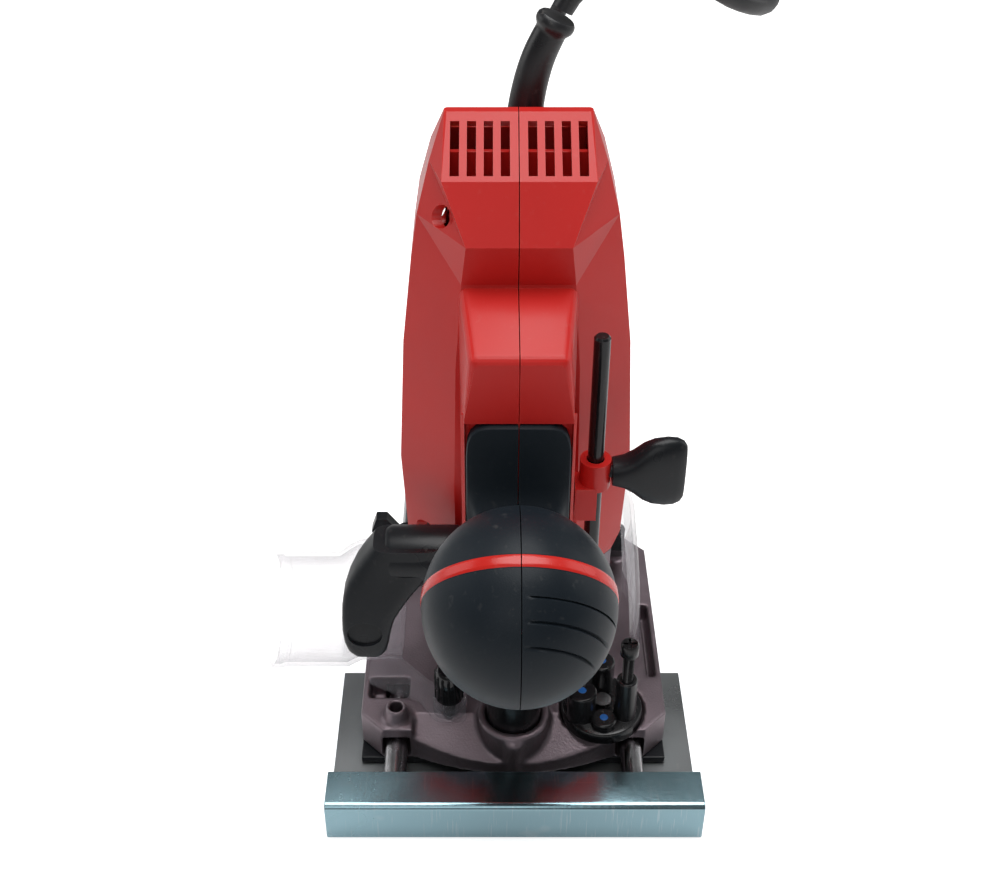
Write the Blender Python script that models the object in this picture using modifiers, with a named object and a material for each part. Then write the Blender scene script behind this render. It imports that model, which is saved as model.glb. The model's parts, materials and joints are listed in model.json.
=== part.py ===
"""Plunge router: a motor unit with two ball handles on a cast base, with a fence and a dust adapter.

The spindle is the vertical axis of the model, +X is the right handle and -Y is the operator's side.
"""

import math

import bmesh
import bpy
from mathutils import Matrix, Vector

MM = 0.001
GAP = 0.3 * MM  # clear space between pieces that touch

# Base
BASE_LENGTH = 104 * MM
BASE_WIDTH = 110 * MM
BASE_BULGE = 8 * MM
BASE_TOP = 20 * MM
BASE_CORNER = 8 * MM
SOLE_THICKNESS = 5 * MM
CUTTER_HOLE = 60 * MM

# Fence and its rods
FENCE_WIDTH = 130 * MM
FENCE_HEIGHT = 16.7 * MM
FENCE_SHEET = 1.8 * MM
FENCE_FACE_X = -83.3 * MM
FENCE_FLANGE = 15.5 * MM
FENCE_PLATE_END = -7 * MM
ROD_DIAMETER = 8 * MM
ROD_SPACING = 84 * MM
ROD_END = 90 * MM
CLAMP_X = 42 * MM
CLAMP_BOSS_TOP = 26 * MM
WING_SPAN = 28 * MM

# Columns and plunge
COLUMN_DIAMETER = 19.4 * MM
COLUMN_WALL = 2 * MM
COLUMN_SPACING = 92 * MM
COLUMN_TOP = 128 * MM
COLUMN_FOOT = 9 * MM
PLUNGE_TRAVEL = 42 * MM

# Motor unit
HOUSING_BOTTOM = 76 * MM
HOUSING_TOP = 232.5 * MM
HOUSING_WIDTH = 76 * MM
HOUSING_DEPTH = 70 * MM
HOUSING_WALL = 2.6 * MM
BRACKET_THICKNESS = 9.7 * MM
BLOCK_FACE_X = 60 * MM
BLOCK_HALF_WIDTH = 16 * MM
BLOCK_TOP_HALF_WIDTH = 13.8 * MM
BLOCK_TOP = 191 * MM
PAD_TOP = 161 * MM
PAD_THICKNESS = 2 * MM
BALL_X = 96 * MM
BALL_Z = 123 * MM
BALL_DIAMETER = 57.4 * MM
BALL_WALL = 3 * MM
STATOR_DIAMETER = 62 * MM
STATOR_LENGTH = 46 * MM
ARMATURE_DIAMETER = 34 * MM
SHAFT_DIAMETER = 10 * MM
COLLET_BORE = 8 * MM
COMMUTATOR_RADIUS = 13 * MM
BRUSH_Z = 181 * MM
BRUSH_SET_BACK = 8 * MM  # from the housing's side to the end of the brush holder
FAN_Z = HOUSING_BOTTOM + 20 * MM
BEARING_RADIUS = 17.5 * MM
BEARING_HEIGHT = 11 * MM
BEARING_Z = HOUSING_BOTTOM + 7.5 * MM
NOSE_RADIUS = 8 * MM
NUT_BOTTOM = 46 * MM

# Controls
TRIGGER_HALF = (8 * MM, 9 * MM)
LOCK_ON_RADIUS = 4.5 * MM
SPINDLE_LOCK_RADIUS = 3.2 * MM
DIAL_RADIUS = 10 * MM
DIAL_THICKNESS = 6 * MM
DIAL_X = 26.5 * MM
DIAL_Z = 198 * MM

# Depth stop
TURRET_X = -41.5 * MM
TURRET_Y = -32 * MM
TURRET_DIAMETER = 29.5 * MM
STOP_CIRCLE = 9 * MM
# Each step of the turret: its place round the disc in degrees, its radius and its top
TURRET_TALL_STEP = (240, 3.7 * MM, 40 * MM)
TURRET_STEPS = [TURRET_TALL_STEP, (120, 5.2 * MM, 34 * MM), (0, 4.7 * MM, 35 * MM), (180, 4.5 * MM, 25 * MM)]
DEPTH_ROD_DIAMETER = 5 * MM
DEPTH_ROD_TOP = 183 * MM
DEPTH_ROD_FOOT = 101 * MM
DEPTH_KNOB_Z = 133 * MM

# Lock lever, dust adapter and chip guard
LEVER_Z = 98 * MM
LEVER_HUB_DIAMETER = 20 * MM
LOCK_BOLT_RADIUS = 4 * MM
DUCT_DIAMETER = 45 * MM
DUCT_MOUTH_Y = 91 * MM
DUCT_Z = 29.3 * MM
CLEAR_WALL = 2 * MM
GUARD_TOP = 80 * MM
GUARD_WALL = 1.5 * MM
GUARD_ROOM = 5.6 * MM  # from the housing to the guard's top
GUARD_SET_BACK = 5.5 * MM  # from the casting's edge to the guard's foot
GUARD_HALF_ANGLE = math.radians(24)
KNOB_X = -42.5 * MM
KNOB_Y = 23 * MM

# Cord
CORD_DIAMETER = 6.6 * MM
COIL_X = 166 * MM
COIL_Y = -4 * MM
COIL_MEAN_RADIUS = 36.5 * MM
COIL_LAYERS = 3
COIL_LEAVES = math.radians(-70)  # where on the coil the tail leaves it
TAIL_LENGTH = 20 * MM
PLUG_THICKNESS = 18 * MM
PLUG_WIDTH = 34 * MM

# Worked out from the sizes above
GUARD_FOOT_RADIUS = BASE_WIDTH / 2 - GUARD_SET_BACK
GUARD_TOP_RADIUS = HOUSING_WIDTH / 2 + GUARD_ROOM
COLUMN_X = COLUMN_SPACING / 2
COLUMN_RADIUS = COLUMN_DIAMETER / 2
BORE_TOP = COLUMN_TOP + PLUNGE_TRAVEL + 3 * MM
ROD_Y = ROD_SPACING / 2
ROD_Z = FENCE_HEIGHT - FENCE_SHEET - GAP - ROD_DIAMETER / 2
SOLE_RECESS = FENCE_SHEET + 0.4 * MM
CASTING_BOTTOM = SOLE_THICKNESS + GAP
STATOR_Z = 138 * MM
DEPTH_ROD_X = TURRET_X + STOP_CIRCLE * math.cos(math.radians(120))
DEPTH_ROD_Y = TURRET_Y + STOP_CIRCLE * math.sin(math.radians(120))
BRACKET_BOTTOM = HOUSING_BOTTOM - GAP - BRACKET_THICKNESS
SPINDLE_LOCK_Z = BRACKET_BOTTOM + BRACKET_THICKNESS / 2

AXIS_TURN = {
    "X": Matrix.Rotation(math.pi / 2, 4, "Y"),
    "Y": Matrix.Rotation(-math.pi / 2, 4, "X"),
    "Z": Matrix.Identity(4),
}

for old in list(bpy.data.objects):
    bpy.data.objects.remove(old)

PARTS = bpy.data.collections.new("plunge_router")
CUTTERS = bpy.data.collections.new("cutters")
CUTTERS.hide_render = True
for collection in (PARTS, CUTTERS):
    bpy.context.scene.collection.children.link(collection)

# The origin is the middle of the footprint: the fence's edge and the duct's mouth end it in Y.
ORIGIN = bpy.data.objects.new("origin", None)
ORIGIN.location = (0, (FENCE_WIDTH / 2 - DUCT_MOUTH_Y) / 2, 0)
PARTS.objects.link(ORIGIN)


def finish(name, colour, roughness, metallic=0.0):
    """A plain material."""
    made = bpy.data.materials.new(name)
    made.use_nodes = True
    shader = made.node_tree.nodes["Principled BSDF"]
    shader.inputs["Base Color"].default_value = (*colour, 1)
    shader.inputs["Roughness"].default_value = roughness
    shader.inputs["Metallic"].default_value = metallic
    return made


RED = finish("red_plastic", (0.55, 0.02, 0.015), 0.4)
BLACK = finish("black_plastic", (0.012, 0.014, 0.017), 0.45)
SOFT_BLACK = finish("soft_grip", (0.015, 0.02, 0.025), 0.6)
CLEAR = finish("clear_plastic", (0.9, 0.9, 0.95), 0.1)
CASTING = finish("cast_aluminium", (0.2, 0.18, 0.18), 0.5, 0.8)
STEEL = finish("bright_steel", (0.6, 0.6, 0.6), 0.3, 1.0)
ZINC = finish("zinc_plated_steel", (0.45, 0.5, 0.52), 0.35, 1.0)
DARK_STEEL = finish("blackened_steel", (0.02, 0.02, 0.02), 0.4, 1.0)
BRASS = finish("brass", (0.7, 0.5, 0.2), 0.3, 1.0)
COPPER = finish("enamelled_copper", (0.5, 0.2, 0.08), 0.4, 0.9)
BRONZE = finish("sintered_bronze", (0.45, 0.3, 0.15), 0.5, 1.0)
CARBON = finish("carbon", (0.03, 0.03, 0.03), 0.7)
RUBBER = finish("cable_rubber", (0.01, 0.01, 0.012), 0.6)


def put(name, shape, look, at=(0, 0, 0), turn=None):
    """Makes a named piece from a bmesh, with its origin at that place."""
    mesh = bpy.data.meshes.new(name)
    shape.to_mesh(mesh)
    shape.free()
    mesh.materials.append(look)
    obj = bpy.data.objects.new(name, mesh)
    obj.parent = ORIGIN
    obj.location = at
    if turn:
        obj.rotation_euler = turn.to_euler()
    PARTS.objects.link(obj)
    return obj


def tool(shape, at=(0, 0, 0)):
    """Makes a cutter, or a shape to be joined to a piece."""
    mesh = bpy.data.meshes.new("tool")
    shape.to_mesh(mesh)
    shape.free()
    obj = bpy.data.objects.new("tool", mesh)
    obj.parent = ORIGIN
    obj.location = at
    obj.hide_render = True
    obj.display_type = "WIRE"
    CUTTERS.objects.link(obj)
    return obj


def boolean(obj, operation, tools):
    for other in tools:
        modifier = obj.modifiers.new(operation.title(), "BOOLEAN")
        modifier.operation = operation
        modifier.object = other
    return obj


def cut(obj, *tools):
    return boolean(obj, "DIFFERENCE", tools)


def join(obj, *tools):
    return boolean(obj, "UNION", tools)


def block(low, high, bevel=0.0):
    """A box from its low corner to its high corner, with edges that may be rounded."""
    low, high = Vector(low), Vector(high)
    shape = bmesh.new()
    place = Matrix.LocRotScale((low + high) / 2, None, high - low)
    bmesh.ops.create_cube(shape, size=1, matrix=place)
    if bevel:
        edges = shape.edges[:]
        bmesh.ops.bevel(shape, geom=edges, offset=bevel, segments=2, profile=0.5, affect="EDGES")
    return shape


def drum(radius, low, high, x=0.0, y=0.0, axis="Z", top_radius=None, sides=32):
    """A cylinder or cone along an axis. For X, x and y are Y and Z; for Y they are X and Z."""
    middle = (low + high) / 2
    place = {"X": (middle, x, y), "Y": (x, middle, y), "Z": (x, y, middle)}[axis]
    shape = bmesh.new()
    bmesh.ops.create_cone(
        shape,
        cap_ends=True,
        segments=sides,
        radius1=radius,
        radius2=radius if top_radius is None else top_radius,
        depth=high - low,
        matrix=Matrix.Translation(place) @ AXIS_TURN[axis],
    )
    return shape


def turned(name, profile, look, at=(0, 0, 0), axis="Z", steps=32):
    """A turned piece. Its profile runs down the outer side, as radius and height."""
    shape = bmesh.new()
    points = [shape.verts.new((radius, 0, height)) for radius, height in profile]
    for start, end in zip(points, points[1:]):
        shape.edges.new((start, end))
    if profile[0][0] > 0:
        shape.edges.new((points[-1], points[0]))
    obj = put(name, shape, look, at, AXIS_TURN[axis])
    screw = obj.modifiers.new("Turn", "SCREW")
    screw.steps = screw.render_steps = steps
    screw.use_merge_vertices = True
    screw.merge_threshold = 0.01 * MM
    return obj


def loft(sections):
    """A closed skin through outlines of equally many points, with flat ends."""
    shape = bmesh.new()
    loops = [[shape.verts.new(point) for point in section] for section in sections]
    count = len(loops[0])
    for lower, upper in zip(loops, loops[1:]):
        for i in range(count):
            j = (i + 1) % count
            shape.faces.new((lower[i], lower[j], upper[j], upper[i]))
    shape.faces.new(loops[0])
    shape.faces.new(loops[-1])
    bmesh.ops.recalc_face_normals(shape, faces=shape.faces[:])
    return shape


def prism(outline, low, high, axis="Z"):
    """A flat outline drawn out along an axis. Its points are X and Y, or X and Z along Y."""

    def placed(level):
        if axis == "Y":
            return [(x, level, z) for x, z in outline]
        return [(x, y, level) for x, y in outline]

    return loft([placed(low), placed(high)])


def merged(*shapes):
    """Several separate shapes in one bmesh, to be used as one cutter."""
    whole = shapes[0]
    for other in shapes[1:]:
        mesh = bpy.data.meshes.new("part_of_tool")
        other.to_mesh(mesh)
        other.free()
        whole.from_mesh(mesh)
        bpy.data.meshes.remove(mesh)
    return whole


def tube(name, points, radii, look, resolution=2):
    """A round bar or cable along straight spans, with a radius at each point."""
    curve = bpy.data.curves.new(name, "CURVE")
    curve.dimensions = "3D"
    curve.bevel_depth = 1 * MM
    curve.bevel_resolution = resolution
    curve.use_fill_caps = True
    spline = curve.splines.new("POLY")
    spline.points.add(len(points) - 1)
    for point, place, radius in zip(spline.points, points, radii):
        point.co = (*place, 1)
        point.radius = radius / MM
    curve.materials.append(look)
    obj = bpy.data.objects.new(name, curve)
    obj.parent = ORIGIN
    PARTS.objects.link(obj)
    return obj


def smooth_path(points, per_span):
    """Points along a smooth curve through the given ones."""
    ends = [2 * points[0] - points[1], *points, 2 * points[-1] - points[-2]]
    path = []
    for a, b, c, d in zip(ends, ends[1:], ends[2:], ends[3:]):
        for k in range(per_span):
            t = k / per_span
            path.append(
                0.5
                * (
                    2 * b
                    + (c - a) * t
                    + (2 * a - 5 * b + 4 * c - d) * t * t
                    + (3 * b - a - 3 * c + d) * t * t * t
                )
            )
    path.append(points[-1])
    return path


def oval(half_width, half_height, power=2.0, count=16):
    """Points round an ellipse, or round a squarer form for a higher power."""
    points = []
    for k in range(count):
        angle = 2 * math.pi * (k + 0.5) / count
        c, s = math.cos(angle), math.sin(angle)
        reach = (abs(c) ** power + abs(s) ** power) ** (-1 / power)
        points.append((half_width * reach * c, half_height * reach * s))
    return points


def base_casting():
    half_x, half_y = BASE_LENGTH / 2, BASE_WIDTH / 2
    channel = 10 * MM
    inner = ROD_Y - channel / 2 - 1 * MM
    front = [(half_x, -half_y + BASE_CORNER)]
    steps = 8
    for k in range(steps + 1):
        share = 2 * k / steps - 1
        front.append((half_x + BASE_BULGE * (1 - share * share), inner * share))
    front += [(half_x, half_y - BASE_CORNER), (half_x - BASE_CORNER, half_y)]
    outline = front + [(-x, -y) for x, y in front]
    outline.insert(0, (half_x - BASE_CORNER, -half_y))
    outline.insert(len(front) + 1, (-half_x + BASE_CORNER, half_y))
    base = put("base_casting", prism(outline, CASTING_BOTTOM, BASE_TOP), CASTING)

    slope_start = half_x - 8 * MM
    lip = 9 * MM
    for side in (-1, 1):
        wedge = [
            (side * slope_start, BASE_TOP),
            (side * (half_x + 2 * BASE_BULGE), BASE_TOP - 1.6 * lip),
            (side * (half_x + 2 * BASE_BULGE), BASE_TOP + lip),
            (side * slope_start, BASE_TOP + lip),
        ]
        cut(base, tool(prism(wedge, -inner, inner, "Y")))

    boss_foot = 8 * MM
    column_boss = COLUMN_RADIUS + 3.3 * MM
    for side in (-1, 1):
        ring = drum(column_boss, boss_foot, BASE_TOP + 3 * MM, side * COLUMN_X)
        join(base, tool(ring))
    for x, y in clamp_places():
        cone = drum(5 * MM, BASE_TOP - 1 * MM, CLAMP_BOSS_TOP, x, y, top_radius=3.6 * MM, sides=24)
        join(base, tool(cone))

    cut(base, tool(drum(CUTTER_HOLE / 2, 0, BASE_TOP + 5 * MM, sides=48)))
    for side in (-1, 1):
        socket = drum(COLUMN_RADIUS + GAP, COLUMN_FOOT, BASE_TOP + 5 * MM, side * COLUMN_X)
        cut(base, tool(socket))
        low = (-half_x - BASE_BULGE, side * ROD_Y - channel / 2, ROD_Z - channel / 2)
        high = (half_x + BASE_BULGE, side * ROD_Y + channel / 2, ROD_Z + channel / 2)
        cut(base, tool(block(low, high)))
    for x, y in clamp_places():
        cut(base, tool(drum(2.5 * MM, ROD_Z, CLAMP_BOSS_TOP + 1 * MM, x, y, sides=16)))
    pocket = TURRET_DIAMETER / 2 + 0.6 * MM
    cut(base, tool(drum(pocket, BASE_TOP - 3 * MM, BASE_TOP + 2 * MM, TURRET_X, TURRET_Y)))
    for x, y in ((TURRET_X, TURRET_Y), (KNOB_X, KNOB_Y)):
        cut(base, tool(drum(2.3 * MM, 10 * MM, BASE_TOP + 1 * MM, x, y, sides=16)))
    window = block(
        (-36.4 * MM, ROD_Y - 4 * MM, ROD_Z),
        (-26.5 * MM, half_y - 2.5 * MM, BASE_TOP + 1 * MM),
    )
    slot = block(
        (-26 * MM, -half_y + 2 * MM, ROD_Z + 1 * MM),
        (12 * MM, -half_y + 5 * MM, BASE_TOP + 1 * MM),
    )
    cut(base, tool(window), tool(slot))


def clamp_places():
    """The threaded bosses over the rods: two at the far side, and one at the near side."""
    return [(CLAMP_X, -ROD_Y), (CLAMP_X, ROD_Y), (-CLAMP_X - 4 * MM, ROD_Y)]


def sole_plate():
    half_x = BASE_LENGTH / 2
    step = 2 * MM
    section = [
        (-half_x, SOLE_RECESS),
        (step, SOLE_RECESS),
        (step, 0),
        (half_x, 0),
        (half_x, SOLE_THICKNESS),
        (-half_x, SOLE_THICKNESS),
    ]
    sole = put("sole_plate", prism(section, -BASE_WIDTH / 2, BASE_WIDTH / 2, "Y"), BLACK)
    cut(sole, tool(drum(CUTTER_HOLE / 2, -1 * MM, SOLE_THICKNESS + 1 * MM, sides=48)))


def columns():
    inner = COLUMN_RADIUS - COLUMN_WALL
    pin_radius = inner - 2.2 * MM
    foot = COLUMN_FOOT + GAP
    chamfer = 1 * MM
    pin_tip = COLUMN_TOP + 1 * MM
    wire = 1 * MM
    for side, name in ((-1, "left"), (1, "right")):
        at = (side * COLUMN_X, 0, 0)
        profile = [
            (COLUMN_RADIUS - chamfer, COLUMN_TOP),
            (COLUMN_RADIUS, COLUMN_TOP - chamfer),
            (COLUMN_RADIUS, foot),
            (inner, foot),
            (inner, COLUMN_TOP),
        ]
        turned(f"column_{name}", profile, DARK_STEEL, at)
        pin = [(0, BORE_TOP - GAP), (pin_radius, BORE_TOP - GAP), (pin_radius, pin_tip), (0, pin_tip)]
        turned(f"spring_pin_{name}", pin, STEEL, at, steps=20)
        bush_outer = COLUMN_RADIUS + 2.3 * MM
        bush_inner = COLUMN_RADIUS + GAP
        bush_top = HOUSING_BOTTOM + 16 * MM
        bush = [
            (bush_outer, bush_top),
            (bush_outer, HOUSING_BOTTOM),
            (bush_inner, HOUSING_BOTTOM),
            (bush_inner, bush_top),
        ]
        turned(f"plunge_bush_{name}", bush, BRONZE, at)

        low, high = foot + wire, pin_tip - GAP - wire
        turns, per_turn = 7, 9
        coil_radius = inner - GAP - wire - 0.4 * MM
        points = []
        for k in range(turns * per_turn + 1):
            angle = 2 * math.pi * k / per_turn
            height = low + (high - low) * k / (turns * per_turn)
            points.append((at[0] + coil_radius * math.cos(angle), coil_radius * math.sin(angle), height))
        tube(f"plunge_spring_{name}", points, [wire] * len(points), STEEL)


def fence():
    inner_x = FENCE_FACE_X + FENCE_SHEET
    section = [
        (FENCE_FACE_X + FENCE_FLANGE, FENCE_HEIGHT),
        (FENCE_FACE_X, FENCE_HEIGHT),
        (FENCE_FACE_X, 0),
        (FENCE_PLATE_END, 0),
        (FENCE_PLATE_END, FENCE_SHEET),
        (inner_x, FENCE_SHEET),
        (inner_x, FENCE_HEIGHT - FENCE_SHEET),
        (FENCE_FACE_X + FENCE_FLANGE, FENCE_HEIGHT - FENCE_SHEET),
    ]
    sheet = put("fence_sheet", prism(section, -FENCE_WIDTH / 2, FENCE_WIDTH / 2, "Y"), ZINC)
    notch_radius = CUTTER_HOLE / 2 + 3 * MM
    cut(sheet, tool(drum(notch_radius, -1 * MM, FENCE_SHEET + 1 * MM, sides=48)))
    for side, name in ((-1, "front"), (1, "back")):
        rod = drum(ROD_DIAMETER / 2, inner_x + GAP, ROD_END, side * ROD_Y, ROD_Z, "X", sides=24)
        put(f"guide_rod_{name}", rod, STEEL)


def wing_screws():
    shaft = 2.2 * MM
    hub = 4.2 * MM
    low = CLAMP_BOSS_TOP + GAP
    hub_height = 7 * MM
    wing_low, wing_high = 1 * MM, 14 * MM
    wing_half = 2.4 * MM
    rod_top = ROD_Z + ROD_DIAMETER / 2 + GAP
    for side, name, turn in ((-1, "front", math.radians(90)), (1, "back", 0)):
        at = (CLAMP_X, side * ROD_Y, low)
        tip = rod_top - low
        profile = [(0, hub_height), (hub, hub_height), (hub, 0), (shaft, 0), (shaft, tip), (0, tip)]
        screw = turned(f"wing_screw_{name}", profile, BLACK, at, steps=20)
        for direction in (-1, 1):
            wing = [
                (direction * 2 * MM, wing_low),
                (direction * WING_SPAN / 2 * 0.8, wing_low + 1 * MM),
                (direction * WING_SPAN / 2, wing_high * 0.55),
                (direction * WING_SPAN / 2 * 0.85, wing_high),
                (direction * WING_SPAN / 2 * 0.55, wing_high),
                (direction * 2 * MM, hub_height - 1 * MM),
            ]
            shape = loft([[(x, y, z) for y, z in wing] for x in (-wing_half, wing_half)])
            bmesh.ops.transform(shape, matrix=Matrix.Rotation(turn, 4, "Z"), verts=shape.verts)
            join(screw, tool(shape, at))


def turret():
    disc_low = BASE_TOP - 3 * MM + GAP
    disc_high = BASE_TOP + 2 * MM
    radius = TURRET_DIAMETER / 2
    screw_hole = 2.3 * MM
    at = (TURRET_X, TURRET_Y, 0)
    profile = [
        (radius - 1 * MM, disc_high),
        (radius, disc_high - 1 * MM),
        (radius, disc_low),
        (screw_hole, disc_low),
        (screw_hole, disc_high),
    ]
    disc = turned("turret_disc", profile, BLACK, at)
    for degrees, post_radius, top in TURRET_STEPS:
        angle = math.radians(degrees)
        x, y = STOP_CIRCLE * math.cos(angle), STOP_CIRCLE * math.sin(angle)
        join(disc, tool(drum(post_radius, disc_high - 2 * MM, top, x, y, sides=20), at))
    tall = math.radians(TURRET_TALL_STEP[0])
    x, y = STOP_CIRCLE * math.cos(tall), STOP_CIRCLE * math.sin(tall)
    cut(disc, tool(drum(2.3 * MM, disc_high + 4 * MM, TURRET_TALL_STEP[2] + 1 * MM, x, y, sides=16), at))
    stop = [
        (0, 57.6 * MM),
        (3.4 * MM, 57.6 * MM),
        (3.9 * MM, 56.6 * MM),
        (3.9 * MM, 52 * MM),
        (2 * MM, 52 * MM),
        (2 * MM, disc_high + 4 * MM + GAP),
        (0, disc_high + 4 * MM + GAP),
    ]
    turned("turret_stop_screw", stop, DARK_STEEL, (TURRET_X + x, TURRET_Y + y, 0), steps=20)
    head = disc_high + GAP
    pin = [
        (0, head + 2.4 * MM),
        (3.2 * MM, head + 2.4 * MM),
        (3.2 * MM, head),
        (2 * MM, head),
        (2 * MM, 10.5 * MM),
        (0, 10.5 * MM),
    ]
    turned("turret_screw", pin, STEEL, at, steps=20)


def chip_guard():
    """A clear wall round the operator's side of the cutter."""
    foot = BASE_TOP + GAP
    profile = [
        (GUARD_TOP_RADIUS, GUARD_TOP),
        (GUARD_FOOT_RADIUS, foot),
        (GUARD_FOOT_RADIUS - GUARD_WALL, foot),
        (GUARD_TOP_RADIUS - GUARD_WALL, GUARD_TOP),
    ]
    guard = turned("chip_guard", profile, CLEAR, steps=64)
    reach = 90 * MM
    across, ahead = reach * math.sin(GUARD_HALF_ANGLE), reach * math.cos(GUARD_HALF_ANGLE)
    sector = [(0, 0), (-across, -ahead), (across, -ahead)]
    boolean(guard, "INTERSECT", [tool(prism(sector, 0, GUARD_TOP + 5 * MM))])


def dust_adapter():
    """A clear duct from the cutter to a round mouth, with a foot that its knob holds down."""
    inlet_y = 41 * MM
    over_edge = BASE_WIDTH / 2 + 1 * MM
    round_y = over_edge + 10 * MM
    foot = BASE_TOP + GAP
    inlet_half = (24 * MM, 15 * MM)

    def section(y, offset):
        if y < round_y:
            points = oval(inlet_half[0] - offset, inlet_half[1] - offset, 5)
            middle = foot + inlet_half[1]
        else:
            radius = DUCT_DIAMETER / 2 - offset
            points = oval(radius, radius)
            middle = DUCT_Z
        return [(x, y, middle + z) for x, z in points]

    outer = [section(y, 0) for y in (inlet_y, over_edge, round_y, DUCT_MOUTH_Y)]
    beyond = 2 * MM
    inner = [
        section(y, CLEAR_WALL) for y in (inlet_y - beyond, over_edge, round_y, DUCT_MOUTH_Y + beyond)
    ]
    duct = put("dust_adapter", loft(outer), CLEAR)
    foot_outline = [
        (-18 * MM, inlet_y + 1 * MM),
        (-18 * MM, over_edge - 2 * MM),
        (-30 * MM, over_edge - 2 * MM),
        (-35 * MM, 44 * MM),
        (-39 * MM, 34 * MM),
        (-49 * MM, 28 * MM),
        (-49 * MM, KNOB_Y - 5.5 * MM),
        (-36 * MM, KNOB_Y - 5.5 * MM),
        (-31 * MM, 30 * MM),
    ]
    join(duct, tool(prism(foot_outline, foot, foot + CLEAR_WALL)))
    boss_top = foot + 6.7 * MM
    join(duct, tool(drum(5.8 * MM, foot, boss_top, KNOB_X, KNOB_Y, sides=24)))
    cut(duct, tool(loft(inner)))
    cut(duct, tool(drum(2.4 * MM, foot - 1 * MM, boss_top + 1 * MM, KNOB_X, KNOB_Y, sides=16)))
    head, top = boss_top + GAP, boss_top + 14 * MM
    knob = [
        (0, top),
        (4.5 * MM, top),
        (5.3 * MM, top - 1.5 * MM),
        (5.3 * MM, head),
        (2 * MM, head),
        (2 * MM, 12 * MM),
        (0, 12 * MM),
    ]
    turned("adapter_knob", knob, BLACK, (KNOB_X, KNOB_Y, 0), steps=24)


def body_sections(inset):
    """The barrel's outlines from bottom to top: eight points each, with flat faces and wide chamfers."""
    half_y, half_x = HOUSING_WIDTH / 2, HOUSING_DEPTH / 2
    top_z = HOUSING_TOP - inset * 1.2
    shapes = [
        (HOUSING_BOTTOM - (inset and 3 * MM), half_x - 2 * MM, 20 * MM, 18 * MM, half_y - 4 * MM),
        (HOUSING_BOTTOM + 10 * MM, half_x, 20 * MM, 20 * MM, half_y - 1.5 * MM),
        (119 * MM, half_x, 20 * MM, 20 * MM, half_y),
        (163 * MM, half_x - 1 * MM, 19 * MM, 18 * MM, half_y - 2.3 * MM),
        (BLOCK_TOP, half_x - 4 * MM, 17 * MM, 14 * MM, half_y - 5.5 * MM),
        (204.5 * MM, half_x - 2 * MM, 15.5 * MM, 12 * MM, half_y - 7.5 * MM),
        (220 * MM - inset / 2, half_x - 13 * MM, 22.5 * MM, 8 * MM, half_y - 11.5 * MM),
        (top_z, 1.6 * MM + inset, 21.2 * MM, 1.0 * MM + inset * 0.4, half_y - 16 * MM),
    ]
    sections = []
    for z, face_x, face_half, side_half, side_y in shapes:
        x, y = face_x - inset, side_y - inset
        w, c = face_half - inset * 0.4, side_half - inset * 0.4
        corners = [(x, w), (c, y), (-c, y), (-x, w), (-x, -w), (-c, -y), (c, -y), (x, -w)]
        sections.append([(px, py, z) for px, py in corners])
    return sections


def handle_block(side):
    """The block that a handle grows from, wider at the barrel than at its face."""
    root_x = HOUSING_DEPTH / 2 - 8 * MM
    low, shoulder = HOUSING_BOTTOM, PAD_TOP
    half, top_half, middle_x = BLOCK_HALF_WIDTH, BLOCK_TOP_HALF_WIDTH, BLOCK_FACE_X - 15 * MM
    shapes = [
        (root_x, half + 2.2 * MM, top_half + 4.2 * MM, BLOCK_TOP),
        (middle_x, half + 1 * MM, top_half + 2 * MM, BLOCK_TOP - 1 * MM),
        (BLOCK_FACE_X, half, top_half, BLOCK_TOP - 7 * MM),
    ]
    sections = []
    for x, half, top_half, top in shapes:
        outline = [(half, low), (half, shoulder), (top_half, top)]
        left = [(side * x, -y, z) for y, z in outline]
        right = [(side * x, y, z) for y, z in reversed(outline)]
        sections.append(left + right)
    return loft(sections)


def vent_slots(side):
    """Eight slots across one slope of the roof."""
    width, pitch, first = 2.7 * MM, 4.93 * MM, 4.0 * MM
    slots = []
    for k in range(4):
        for half in (-1, 1):
            y = half * (first + pitch * k)
            ends = sorted((side * 3.5 * MM, side * 20.5 * MM))
            low = (ends[0], y - width / 2, 206 * MM)
            slots.append(block(low, (ends[1], y + width / 2, HOUSING_TOP + 5 * MM)))
    return merged(*slots)


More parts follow.
